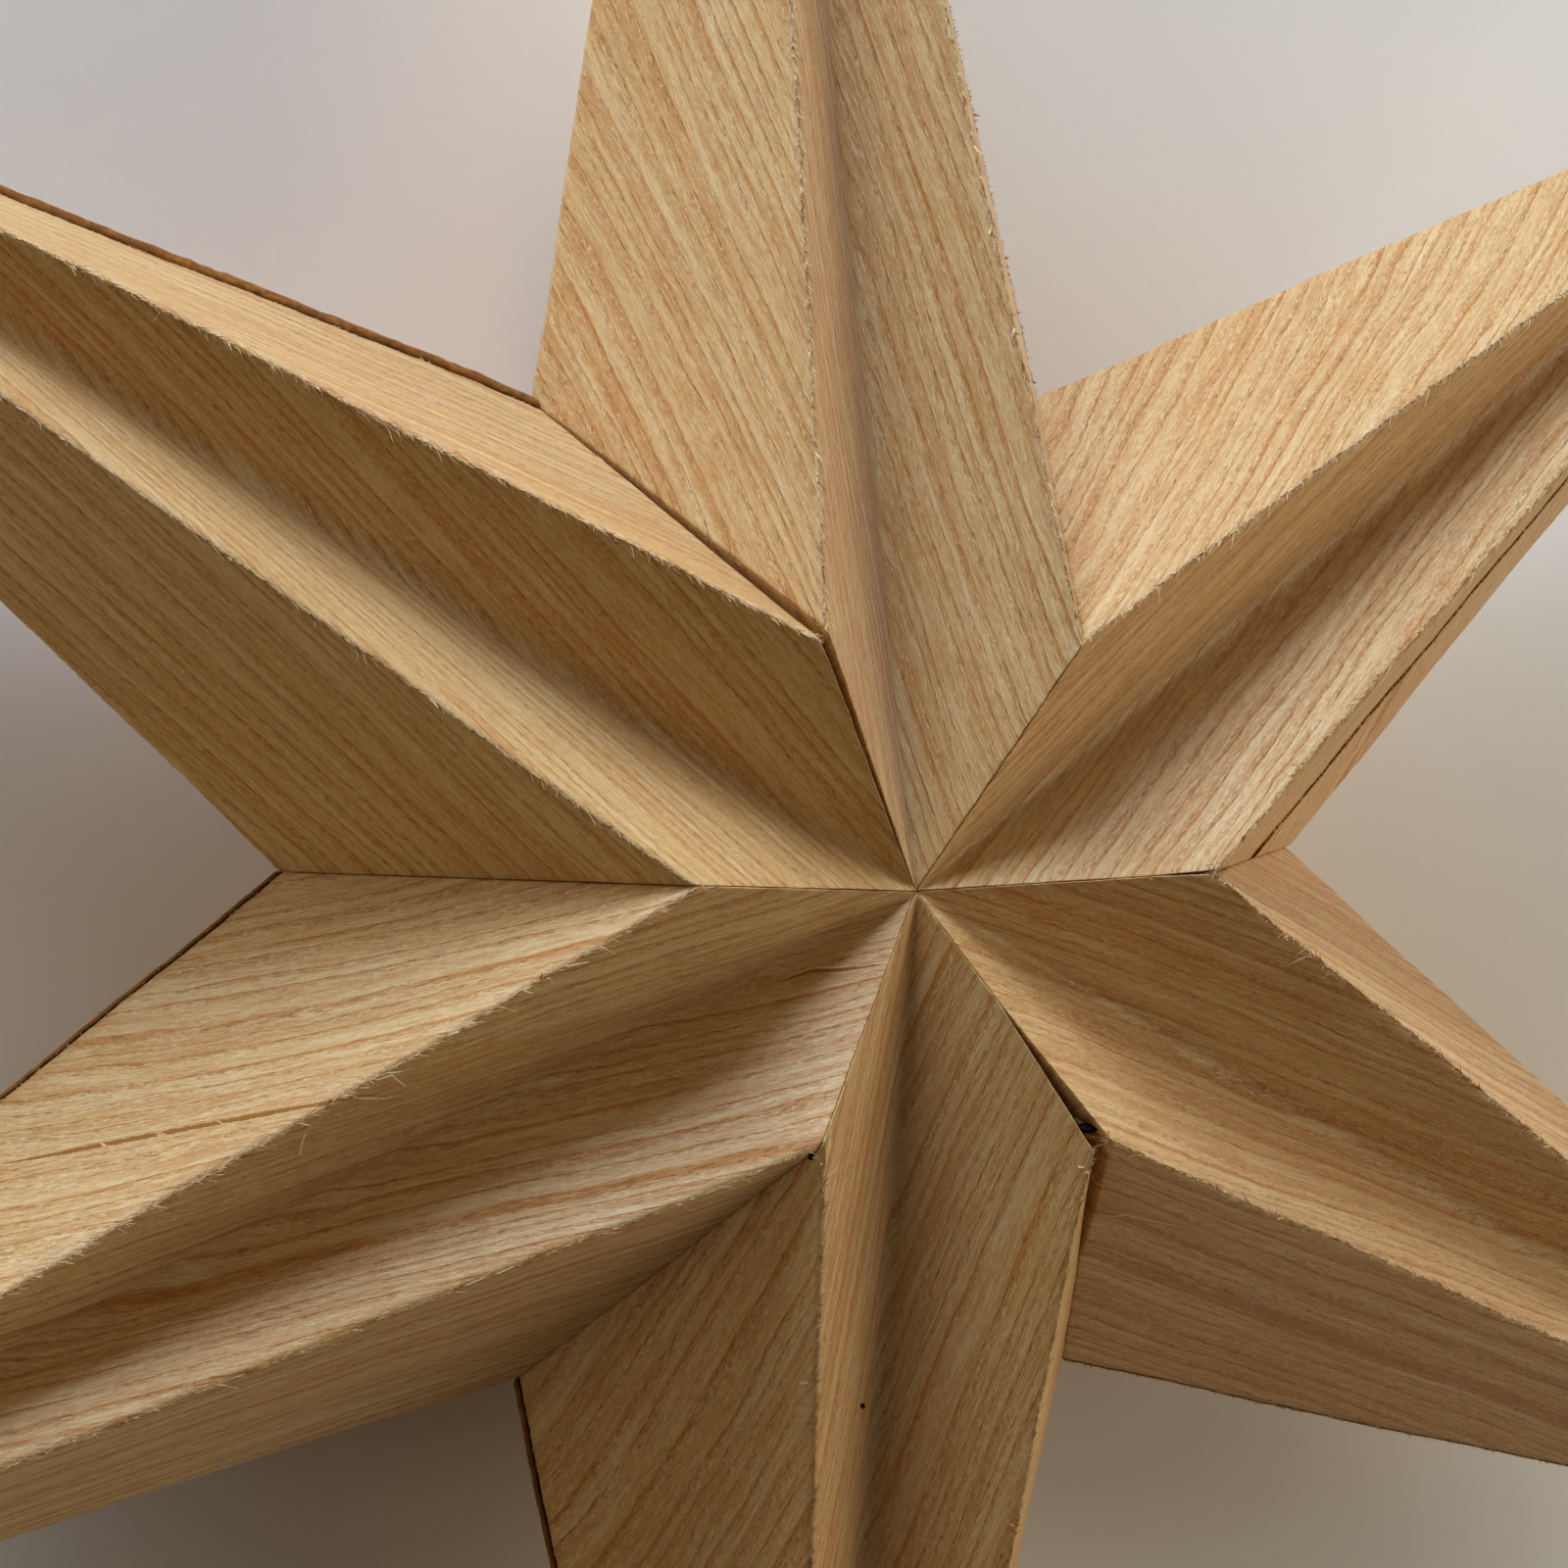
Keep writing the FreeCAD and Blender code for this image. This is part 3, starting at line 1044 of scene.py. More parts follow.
    def build(self, veneer: bpy.types.Material, edge: bpy.types.Material) -> bpy.types.Object:
        """Makes the arm's mesh.

        Args:
            veneer: Finish of the sheet.
            edge: Finish of its cut edges.

        Returns:
            The arm as an object with its thickness.
        """
        places, self.beyond = self.grid()
        self.first_row = int(np.argmax(self.beyond <= 0.0))
        self.places = self._warp(places, self.first_row + 3)
        rows, stops = self.places.shape[:2]
        number = np.arange(rows * stops).reshape(rows, stops)
        quads = grid_faces(number)
        mesh = bpy.data.meshes.new(self.name + "_folded")
        mesh.from_pydata(self.place(self.places).reshape(-1, 3).tolist(), [], quads.reshape(-1, 4).tolist())
        self._add_layers(mesh, quads)
        mesh.polygons.foreach_set("use_smooth", np.ones(len(mesh.polygons), dtype=bool))
        mesh.materials.append(veneer)
        mesh.materials.append(edge)
        mesh.update()
        thing = bpy.data.objects.new(self.name + "_folded", mesh)
        bpy.context.scene.collection.objects.link(thing)
        self._thicken(thing, number)
        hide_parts(self.name)
        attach(thing, "root")
        return thing

    def _add_layers(self, mesh: bpy.types.Mesh, quads: np.ndarray) -> None:
        """Adds the place in the flat sheet and the distances for wear as UV layers.

        Args:
            mesh: The arm's mesh.
            quads: Its faces as numbers of points.
        """
        flat = self.sheet_places(self.places, self.beyond, self.cut.grain)
        other = self.sheet_places(self.places, self.beyond, self.cut.rim_grain or self.cut.grain)
        turned = 8 if self.closing is Closing.LAP else 0
        on_rim = ((self.face == turned) & ~self.bent)[:-1] & (self.face[1:] == turned)
        on_rim = np.broadcast_to(on_rim[None, :, None, None], quads.shape + (1,))
        sheet = np.where(on_rim, other.reshape(-1, 2)[quads], flat.reshape(-1, 2)[quads])
        wear = self._wear_places(self.places).reshape(-1, 2)[quads]
        for name, values in (("sheet", sheet), ("wear", wear)):
            layer = mesh.uv_layers.new(name=name)
            layer.data.foreach_set("uv", values.reshape(-1).astype(np.float32))

    def _thicken(self, thing: bpy.types.Object, number: np.ndarray) -> None:
        """Gives the sheet its thickness, thinner inside the tight crease at the mitred edge.

        Args:
            thing: The arm.
            number: Grid of its points' numbers.
        """
        ply = thing.vertex_groups.new(name="ply")
        inside = range(self.first_row - 1, self.first_row + 6)
        beside = range(self.first_row - 2, self.first_row + 7)
        for row, points in enumerate(number.tolist()):
            share = self.crease_ply if row in inside else self.near_ply if row in beside else 1.0
            ply.add(points, share, "REPLACE")
        thick = thing.modifiers.new("thickness", "SOLIDIFY")
        thick.vertex_group = ply.name
        thick.thickness = self.sizes.sheet
        thick.offset = -1.0
        thick.material_offset_rim = 1


@dataclass
class LooseFibres:
    """Short fibres and flakes that stand off the folds and cut edges of one arm."""

    arm: FoldedArm
    per_mm: float = 5.0
    segments: int = 2

    def _frames(self) -> tuple[np.ndarray, np.ndarray]:
        """Outward direction and grain direction at every point of the arm's grid.

        Returns:
            Two grids of unit vectors in the arm's frame.
        """
        places = self.arm.places
        flat = self.arm.sheet_places(places, self.arm.beyond, self.arm.cut.grain)
        ahead, aside = np.gradient(places, axis=0), np.gradient(places, axis=1)
        normal = unit_rows(np.cross(aside, ahead))
        u, v = np.gradient(flat, axis=0), np.gradient(flat, axis=1)
        area = u[..., 0] * v[..., 1] - u[..., 1] * v[..., 0]
        area = np.where(np.abs(area) < 1e-12, 1e-12, area)
        grain = ahead * (v[..., 1] / area)[..., None] - aside * (u[..., 1] / area)[..., None]
        return normal, unit_rows(grain)

    def _anchors(self) -> list[tuple[np.ndarray, np.ndarray, float, float, int]]:
        """Lines that the fibres stand on.

        Returns:
            For each line its rows and stops in the grid, the fibres' count and usual length,
            and for a ridge how many stops away its flank lies.
        """
        arm = self.arm
        rows = np.arange(arm.first_row + 3, len(arm.places) - 8)
        every = np.arange(len(arm.face))
        reach = self.arm.bend_steps
        lines = []
        folds = ((1, 3.8, 0.66, -reach), (3, 3.8, 0.66, reach), (4, 0.5, 0.30, 0))
        for corner, share, size, flank in folds:
            stops = every[arm.bent & (arm.face == corner)]
            middle = int(stops[len(stops) // 2])
            lines.append((rows, np.full(len(rows), middle), share, size * MM, flank))
        lines.append((rows, np.full(len(rows), every[-1]), 2.4, 0.36 * MM, 0))
        lines.append((rows, np.full(len(rows), 0), 0.8, 0.30 * MM, 0))
        front = every[(arm.face < FRONT_CORNERS - 1)]
        lines.append((np.full(len(front), arm.first_row - 1), front, 1.2, 0.28 * MM, 0))
        return lines

    def build(self, finish: bpy.types.Material) -> bpy.types.Object:
        """Makes all of the arm's loose fibres as one mesh.

        Args:
            finish: Their finish.

        Returns:
            The object.
        """
        arm = self.arm
        rng = np.random.default_rng(int(arm.cut.seed * 1000) + 7)
        normal, grain = self._frames()
        roots, ways, sizes, widths = [], [], [], []
        for rows, stops, share, usual, flank in self._anchors():
            line = arm.places[rows, stops]
            run = np.concatenate(([0.0], np.cumsum(np.linalg.norm(np.diff(line, axis=0), axis=1))))
            count = int(run[-1] / MM * self.per_mm * share)
            clumps = rng.random(max(count // 5, 1)) * run[-1]
            spot = np.clip(rng.choice(clumps, count) + rng.normal(0, 0.5 * MM, count), 0, run[-1])
            spot[: count // 2] = rng.random(count // 2) * run[-1]
            place = np.interp(spot, run, np.arange(len(run)))
            low = np.floor(place).astype(int).clip(0, len(run) - 2)
            part = (place - low)[:, None]
            root = line[low] * (1 - part) + line[low + 1] * part
            out = normal[rows[low], stops[low]]
            along = grain[rows[low], stops[low] + flank]
            if flank:
                past = arm.places[rows[low], stops[low]] - arm.places[rows[low], stops[low] + flank]
                along *= np.sign((along * past).sum(axis=1))[:, None]
                lift = rng.uniform(-0.05, 0.32, count)[:, None]
            else:
                along *= rng.choice((-1.0, 1.0), count)[:, None]
                lift = rng.uniform(0.05, 0.75, count)[:, None]
            way = unit_rows(along * (1.1 - lift) + out * lift + rng.normal(0, 0.16, (count, 3)))
            length = usual * rng.lognormal(0.0, 0.45, count)
            roots.append(root - out * 0.03 * MM)
            ways.append(way)
            sizes.append(length)
            flake = rng.random(count) < 0.12
            wide, thin = rng.uniform(0.07, 0.17, count), rng.uniform(0.035, 0.080, count)
            widths.append(np.where(flake, wide, thin) * MM)
        root, way = np.concatenate(roots), np.concatenate(ways)
        size, width = np.concatenate(sizes), np.concatenate(widths)
        count = len(root)
        sag = rng.normal(0, 0.30, (count, 3)) * size[:, None]
        side = unit_rows(np.cross(way, rng.normal(0, 1, (count, 3))))
        steps = np.linspace(0.0, 1.0, self.segments + 1)
        rings = []
        for step in steps:
            middle = root + way * (size * step)[:, None] + sag * step**2
            thin = (width * (1.0 - 0.75 * step))[:, None]
            rings += [middle + side * thin, middle - side * thin]
        points = np.stack(rings, axis=1)
        per = points.shape[1]
        faces = [(2 * step, 2 * step + 1, 2 * step + 3, 2 * step + 2) for step in range(self.segments)]
        faces = (np.array(faces)[None] + (np.arange(count) * per)[:, None, None]).reshape(-1, 4)
        mesh = bpy.data.meshes.new(arm.name + "_fibres")
        mesh.from_pydata(arm.place(points).reshape(-1, 3).tolist(), [], faces.tolist())
        mesh.materials.append(finish)
        thing = bpy.data.objects.new(arm.name + "_fibres", mesh)
        bpy.context.scene.collection.objects.link(thing)
        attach(thing, "root")
        return thing


@dataclass
class RimShadeBand:
    """The back flank's thick rim, which stands out past the slit; its dark brown is painted shade of the
    shaded inner face, partly glue stain.
    """

    arm: FoldedArm
    around: int = 10

    def build(self, finish: bpy.types.Material) -> bpy.types.Object:
        """Makes the rim as a slightly flattened round band.

        Args:
            finish: Its finish.

        Returns:
            The object.
        """
        arm = self.arm
        rng = np.random.default_rng(int(arm.cut.seed * 1000) + 3)
        half = arm.cut.band
        first = arm.first_row - 1
        outline = arm.places[first:, -1]
        inner = arm.places[first:, 0]
        line = outline + unit_rows(inner - outline) * half * 0.75
        line[:, 2] -= 0.12 * half
        steps = len(line)
        ahead = unit_rows(np.gradient(line, axis=0))
        side = unit_rows(inner - outline)
        up = np.cross(side, ahead)
        swell = 1.0 + 0.02 * rng.standard_normal(steps)
        swell += 0.04 * wavy(line[:, 0], (4 * MM, 11 * MM), rng)
        thin = np.clip((arm.tip[0] - line[:, 0]) / (50 * MM), 0.05, 1.0)
        thin[0] *= 0.55
        rings = []
        for turn in np.linspace(0.0, 2 * math.pi, self.around, endpoint=False):
            rough = 1.0 + 0.03 * rng.standard_normal(steps)
            wide = (half * swell * thin * rough)[:, None]
            rings.append(line + side * math.cos(turn) * wide + up * math.sin(turn) * wide * 0.8)
        points = np.stack(rings, axis=1)
        number = np.arange(steps * self.around).reshape(steps, self.around)
        after = np.roll(number, -1, axis=1)
        quads = np.stack((number[:-1], after[:-1], after[1:], number[1:]), axis=-1)
        quads = quads.reshape(-1, 4).tolist()
        quads.append(number[0][::-1].tolist())
        quads.append(number[-1].tolist())
        mesh = bpy.data.meshes.new(arm.name + "_rim")
        mesh.from_pydata(arm.place(points).reshape(-1, 3).tolist(), [], quads)
        mesh.polygons.foreach_set("use_smooth", np.ones(len(mesh.polygons), dtype=bool))
        mesh.materials.append(finish)
        thing = bpy.data.objects.new(arm.name + "_rim", mesh)
        bpy.context.scene.collection.objects.link(thing)
        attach(thing, "root")
        return thing


class Tone(Enum):
    """Colour of a mark in the veneer; some are painted shade and painted highlight."""

    # near black: painted shade seen through the seam holes, also used for the small dark speck
    HOLE_SHADE_AND_SPECK = (0.012, 0.006, 0.003, 1.0)
    # dark orange-brown: painted shade in the splits
    CRACK_SHADE = (0.30, 0.105, 0.008, 1.0)
    # pale: loose fibres and chips, and painted highlight on the splits' raised lips
    PALE_FIBRE_CHIP_AND_HIGHLIGHT = (0.82, 0.58, 0.23, 1.0)
    STRAW = (0.62, 0.36, 0.11, 1.0)
    PINK = (0.76, 0.40, 0.25, 1.0)


class Shape(Enum):
    """What a mark is made as."""

    LINE = "thin strip that lies on the surface and tapers at both ends"
    PATCH = "flat patch that lies on the surface"
    THREAD = "fibre that is rooted at its first point and rises from the surface"
    FLAKE = "small curled chip"


@dataclass(frozen=True)
class Mark:
    """One crack, hole, fibre or chip, placed by points of the photograph's frame."""

    shape: Shape
    tone: Tone
    points: tuple[tuple[float, float], ...]
    width: float = 0.3 * MM
    lift: float = 0.02 * MM


MARKS = {
    # dark strip of painted shade in the split
    "split": Mark(
        Shape.LINE,
        Tone.CRACK_SHADE,
        ((2, 1188), (60, 1177), (110, 1167), (200, 1150), (300, 1131), (350, 1122), (384, 1116)),
        0.62 * MM,
    ),
    # flat pale line of painted highlight on the split's raised lip
    "split_lip_highlight": Mark(
        Shape.LINE, Tone.PALE_FIBRE_CHIP_AND_HIGHLIGHT, ((30, 1178), (110, 1162), (200, 1145), (300, 1127), (350, 1119)), 0.08 * MM
    ),
    # dark strip of painted shade in the tear
    "tear": Mark(
        Shape.LINE, Tone.CRACK_SHADE, ((796, 1002), (828, 991), (856, 990), (880, 987), (906, 983)), 0.30 * MM
    ),
    # flat pale line of painted highlight on the tear's raised lip
    "tear_lip_highlight": Mark(Shape.LINE, Tone.PALE_FIBRE_CHIP_AND_HIGHLIGHT, ((830, 987), (856, 987), (878, 983)), 0.16 * MM),
    "ridge_fibre_low": Mark(
        Shape.THREAD, Tone.PALE_FIBRE_CHIP_AND_HIGHLIGHT, ((318, 1147), (309, 1152), (303, 1160), (301, 1171)), 0.24 * MM, 1.1 * MM
    ),
    "ridge_fibre_high": Mark(
        Shape.THREAD, Tone.PALE_FIBRE_CHIP_AND_HIGHLIGHT, ((380, 1103), (398, 1093), (410, 1101)), 0.20 * MM, 0.9 * MM
    ),
    "ridge_fibre_middle": Mark(
        Shape.THREAD, Tone.PALE_FIBRE_CHIP_AND_HIGHLIGHT, ((360, 1120), (375, 1118), (390, 1117), (404, 1113)), 0.18 * MM, 0.6 * MM
    ),
    "fleck": Mark(Shape.FLAKE, Tone.PALE_FIBRE_CHIP_AND_HIGHLIGHT, ((822, 1411),), 0.75 * MM, 0.55 * MM),
    "speck": Mark(
        Shape.PATCH, Tone.HOLE_SHADE_AND_SPECK, ((878, 1432), (881, 1432), (883, 1435), (881, 1438), (878, 1436))
    ),
    "pink_streak": Mark(Shape.LINE, Tone.PINK, ((388, 374), (420, 392), (455, 414), (482, 430)), 0.24 * MM),
    "pink_streak_beside": Mark(Shape.LINE, Tone.PINK, ((420, 388), (450, 408)), 0.16 * MM),
    # near-black patch lying on the surface: painted shade seen through the seam hole
    "right_seam_hole_shade": Mark(
        Shape.PATCH, Tone.HOLE_SHADE_AND_SPECK, ((1231, 883), (1238, 882), (1243, 887), (1239, 890), (1234, 887))
    ),
    # near-black patch lying on the surface: painted shade seen through the seam hole
    "bottom_seam_hole_shade": Mark(
        Shape.PATCH, Tone.HOLE_SHADE_AND_SPECK, ((824, 1177), (829, 1176), (832, 1179), (829, 1184), (825, 1183))
    ),
    "bottom_seam_chip": Mark(Shape.FLAKE, Tone.PALE_FIBRE_CHIP_AND_HIGHLIGHT, ((834, 1181),), 0.9 * MM, 0.35 * MM),
    "bottom_seam_small_chip": Mark(Shape.FLAKE, Tone.PALE_FIBRE_CHIP_AND_HIGHLIGHT, ((838, 1188),), 0.7 * MM, 0.45 * MM),
    "bottom_seam_fray": Mark(
        Shape.PATCH, Tone.PALE_FIBRE_CHIP_AND_HIGHLIGHT, ((840, 1160), (848, 1150), (847, 1168), (842, 1185), (836, 1180))
    ),
    # near-black patch lying on the surface: painted shade seen through the seam hole
    "three_sided_hole_shade": Mark(
        Shape.PATCH,
        Tone.HOLE_SHADE_AND_SPECK,
        (
            (1094, 1141),
            (1101, 1146),
            (1112, 1146),
            (1128, 1147),
            (1121, 1153),
            (1112, 1155),
            (1107, 1159),
            (1099, 1152),
        ),
    ),
    "hole_chip_right": Mark(Shape.FLAKE, Tone.PALE_FIBRE_CHIP_AND_HIGHLIGHT, ((1131, 1157),), 0.8 * MM, 0.4 * MM),
    "hole_chip_below": Mark(Shape.FLAKE, Tone.STRAW, ((1118, 1160),), 1.0 * MM, 0.3 * MM),
    "edge_chip": Mark(Shape.FLAKE, Tone.PALE_FIBRE_CHIP_AND_HIGHLIGHT, ((1104, 1191),), 0.7 * MM, 0.5 * MM),
    "edge_chip_beside": Mark(Shape.FLAKE, Tone.PALE_FIBRE_CHIP_AND_HIGHLIGHT, ((1109, 1196),), 0.8 * MM, 0.4 * MM),
    "edge_fibre": Mark(
        Shape.THREAD, Tone.PALE_FIBRE_CHIP_AND_HIGHLIGHT, ((1113, 1193), (1119, 1197), (1126, 1204)), 0.16 * MM, 0.9 * MM
    ),
    "flank_fibre_long": Mark(
        Shape.THREAD, Tone.PALE_FIBRE_CHIP_AND_HIGHLIGHT, ((1205, 1252), (1175, 1243), (1145, 1234), (1118, 1229)), 0.14 * MM, 0.6 * MM
    ),
    "flank_fibre_short": Mark(
        Shape.THREAD, Tone.PALE_FIBRE_CHIP_AND_HIGHLIGHT, ((1148, 1240), (1135, 1236), (1122, 1232)), 0.14 * MM, 0.8 * MM
    ),
}


@dataclass
class Marks:
    """Lays the marks on the folded arms where the photograph shows them."""

    arms: list[FoldedArm]
    hub: Vector
    eye: Eye = field(default_factory=Eye)

    def __post_init__(self) -> None:
        """Builds the tree that finds where a sight line meets an arm."""
        self.rng = np.random.default_rng(77)
        corners: list = []
        faces: list = []
        for arm in self.arms:
            places = arm.place(arm.places)
            rows, stops = places.shape[:2]
            number = np.arange(rows * stops).reshape(rows, stops) + len(corners)
            corners += places.reshape(-1, 3).tolist()
            faces += grid_faces(number).reshape(-1, 4).tolist()
        self.tree = BVHTree.FromPolygons(corners, faces)
        self.verts: list[Vector] = []
        self.faces: list[tuple[int, ...]] = []
        self.slots: list[int] = []

    def find(self, x: float, y: float) -> Optional[tuple[Vector, Vector]]:
        """Finds what a point of the frame shows.

        Args:
            x: Points from the left.
            y: Points from the top.

        Returns:
            Place on the nearest arm and its outward direction, or None beside the star.
        """
        start = self.hub + Vector(self.eye.offset)
        way = self.eye.way(x, y)
        place, normal, _, _ = self.tree.ray_cast(start, way)
        if place is None:
            return None
        if normal.dot(way) > 0:
            normal = -normal
        return place, normal

    def along(self, mark: Mark, step: float = 2.0) -> list[tuple[Vector, Vector]]:
        """Finds what a mark's line lies on.

        Args:
            mark: The mark.
            step: Points of the frame from one place to the next.

        Returns:
            Place and outward direction at each step.
        """
        line = np.array(mark.points, dtype=float)
        run = np.concatenate(([0.0], np.cumsum(np.linalg.norm(np.diff(line, axis=0), axis=1))))
        spots = np.linspace(0.0, run[-1], max(int(run[-1] / step), 4) + 1)
        found = [self.find(np.interp(t, run, line[:, 0]), np.interp(t, run, line[:, 1])) for t in spots]
        return [spot for spot in found if spot]

    def add(self, verts: list[Vector], faces: list[tuple[int, ...]], tone: Tone) -> None:
        """Adds a small shape to the mesh.

        Args:
            verts: Its points.
            faces: Its faces, as numbers of its own points.
            tone: Its colour.
        """
        base = len(self.verts)
        self.verts += verts
        self.faces += [tuple(base + index for index in face) for face in faces]
        self.slots += [list(Tone).index(tone)] * len(faces)

    def line(self, mark: Mark) -> None:
        """Lays a thin strip.

        Args:
            mark: Its line and width.
        """
        spots = self.along(mark)
        last = len(spots) - 1
        verts = []
        for index, (place, normal) in enumerate(spots):
            ahead = spots[min(index + 1, last)][0] - spots[max(index - 1, 0)][0]
            side = normal.cross(ahead).normalized()
            share = index / last
            taper = min(1.0, 5 * share + 0.1, 3 * (1 - share) + 0.1)
            half = mark.width / 2 * taper * self.rng.uniform(0.7, 1.2)
            middle = place + normal * mark.lift
            verts += [middle + side * half, middle - side * half]
        self.add(verts, [(2 * i, 2 * i + 1, 2 * i + 3, 2 * i + 2) for i in range(last)], mark.tone)

    def patch(self, mark: Mark) -> None:
        """Lays a flat patch.

        Args:
            mark: Its outline.
        """
        spots = [self.find(x, y) for x, y in mark.points]
        verts = [spot[0] + spot[1] * mark.lift * 2 for spot in spots if spot]
        self.add(verts, [tuple(range(len(verts)))], mark.tone)

    def thread(self, mark: Mark) -> None:
        """Grows a fibre from its first point.

        Args:
            mark: Its line, width and rise.
        """
        spots = self.along(mark, 2.5)
        last = len(spots) - 1
        verts = []
        for index, (place, normal) in enumerate(spots):
            share = index / last
            ahead = spots[min(index + 1, last)][0] - spots[max(index - 1, 0)][0]
            side = normal.cross(ahead).normalized()
            middle = place + normal * (mark.lift * math.sin(share * 1.8) - 0.02 * MM)
            half = mark.width / 2 * (1.0 - 0.6 * share)
            far = middle - side * half * 0.5
            verts += [middle + side * half, far + normal * half, far - normal * half]
        faces = []
        for ring in range(0, 3 * last, 3):
            for this, following in ((0, 1), (1, 2), (2, 0)):
                faces.append((ring + this, ring + following, ring + 3 + following, ring + 3 + this))
        self.add(verts, faces, mark.tone)

    def flake(self, mark: Mark) -> None:
        """Sets a small curled chip with one side down.

        Args:
            mark: Its place, width and rise.
        """
        place, normal = self.find(*mark.points[0])
        side = normal.cross(Vector((0.3, 1.0, 0.2))).normalized()
        other = normal.cross(side)
        verts = [place + normal * mark.lift * 0.35]
        for turn in np.linspace(0.0, 2 * math.pi, 9, endpoint=False):
            reach = mark.width / 2 * self.rng.uniform(0.45, 1.15)
            rise = mark.lift * max(0.0, math.cos(turn)) + 0.02 * MM
            way = side * math.cos(turn) + other * math.sin(turn) * 0.6
            verts.append(place + way * reach + normal * rise)
        self.add(verts, [(0, 1 + i, 1 + (i + 1) % 9) for i in range(9)], mark.tone)

    def build(self) -> bpy.types.Object:
        """Makes all of the marks as one mesh.

        Returns:
            The object.
        """
        makers = {
            Shape.LINE: self.line,
            Shape.PATCH: self.patch,
            Shape.THREAD: self.thread,
            Shape.FLAKE: self.flake,
        }
        for mark in MARKS.values():
            makers[mark.shape](mark)
        mesh = bpy.data.meshes.new("veneer_marks")
        mesh.from_pydata([tuple(vert) for vert in self.verts], [], self.faces)
        for tone in Tone:
            paint = bpy.data.materials.new("mark_" + tone.name.lower())
            paint.use_nodes = True
            shader = paint.node_tree.nodes["Principled BSDF"]
            shader.inputs["Base Color"].default_value = tone.value
            shader.inputs["Roughness"].default_value = 0.9
            shader.inputs["Specular IOR Level"].default_value = 0.0 if tone is Tone.HOLE_SHADE_AND_SPECK else 0.3
            mesh.materials.append(paint)
        mesh.polygons.foreach_set("material_index", self.slots)
        thing = bpy.data.objects.new("veneer_marks", mesh)
        bpy.context.scene.collection.objects.link(thing)
        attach(thing, "root")
        return thing


class Tint(Enum):
    """Colour of a soft panel."""

    DAY = (0.69, 0.895, 1.50)
    WARM = (0.93, 0.895, 0.90)
    PLAIN = (0.91, 0.910, 0.98)


@dataclass(frozen=True)
class SoftPanel:
    """A square soft light: its direction from the hub in degrees, distance, side and watts."""

    name: str
    azimuth: float
    elevation: float
    distance: float
    size: float
    power: float
    tint: Tint


PANELS = (
    SoftPanel("window_middle", 105.0, 13.0, 1.7, 0.8, 20.2, Tint.DAY),
    SoftPanel("window_right", 90.0, 13.0, 1.7, 0.8, 10.3, Tint.DAY),
    SoftPanel("window_left", 120.0, 13.0, 1.7, 0.8, 10.7, Tint.DAY),
    SoftPanel("right_low", 20.0, 15.0, 2.0, 1.0, 9.2, Tint.PLAIN),
    SoftPanel("right_high", 20.0, 40.0, 2.0, 1.0, 4.3, Tint.PLAIN),
    SoftPanel("right_wide", 0.0, 25.0, 2.0, 1.3, 10.9, Tint.PLAIN),
    SoftPanel("lower_right", 315.0, 25.0, 2.0, 1.3, 6.2, Tint.PLAIN),
    SoftPanel("left_wide", 175.0, 28.0, 2.0, 1.3, 6.9, Tint.WARM),
)


@dataclass
class Studio:
    """Floor, soft lights and the camera at the photograph's angle."""

    hub: Vector

    def floor(self) -> None:
        """Lays the plain floor at the height that the star rests on."""
        mesh = bpy.data.meshes.new("floor")
        half = 3.0
        corners = [(-half, -half, 0), (half, -half, 0), (half, half, 0), (-half, half, 0)]
        mesh.from_pydata(corners, [], [(0, 1, 2, 3)])
        mesh.materials.append(FloorFinish().material())
        ground = bpy.data.objects.new("floor", mesh)
        bpy.context.scene.collection.objects.link(ground)

    def light(self, panel: SoftPanel) -> None:
        """Hangs one square soft light that faces the star.

        Args:
            panel: Where it hangs and how strong it is.
        """
        data = bpy.data.lights.new(panel.name, "AREA")
        data.shape = "SQUARE"
        data.size = panel.size
        data.energy = panel.power
        data.color = panel.tint.value
        lamp = bpy.data.objects.new(panel.name, data)
        turn, rise = math.radians(panel.azimuth), math.radians(panel.elevation)
        way = Vector((math.cos(rise) * math.cos(turn), math.cos(rise) * math.sin(turn), math.sin(rise)))
        lamp.location = self.hub + way * panel.distance
        lamp.rotation_euler = (-way).to_track_quat("-Z", "Y").to_euler()
        bpy.context.scene.collection.objects.link(lamp)

    def lights(self) -> None:
        """Hangs the panels and sets the faint even light of the room."""
        for panel in PANELS:
            self.light(panel)
        world = bpy.data.worlds.new("room")
        world.use_nodes = True
        world.node_tree.nodes["Background"].inputs[0].default_value = (1.0, 0.95, 0.9, 1.0)
        world.node_tree.nodes["Background"].inputs[1].default_value = 0.02
        bpy.context.scene.world = world
        bpy.context.scene.view_settings.view_transform = "Standard"

    def camera(self) -> None:
        """Sets the camera where the photograph was taken from."""
        view = Eye()
        right, up, back = view.axes()
        data = bpy.data.cameras.new("photo_camera")
        data.lens = view.lens
        data.sensor_width = view.film
        data.sensor_height = view.film
        data.clip_start = 0.02
        eye = bpy.data.objects.new("photo_camera", data)
        turn = Matrix((right, up, back)).transposed().to_4x4()
        place = self.hub + Vector(view.offset)
        eye.matrix_world = Matrix.Translation(place) @ turn
        bpy.context.scene.collection.objects.link(eye)
        bpy.context.scene.camera = eye


SEAMS = {
    "top_left": Seam(120.0, 58.6 * MM, 1.1 * MM, 0.05, 0.0),
    "left": Seam(177.5, 57.7 * MM),
    "bottom_left": Seam(237.5, 59.9 * MM),
    "bottom_right": Seam(301.8, 61.1 * MM, 1.9 * MM, 0.42, 0.55),
    "right": Seam(363.1, 60.7 * MM, 0.3 * MM, 0.8, 0.8),
    "top_right": Seam(420.3, 60.2 * MM),
}


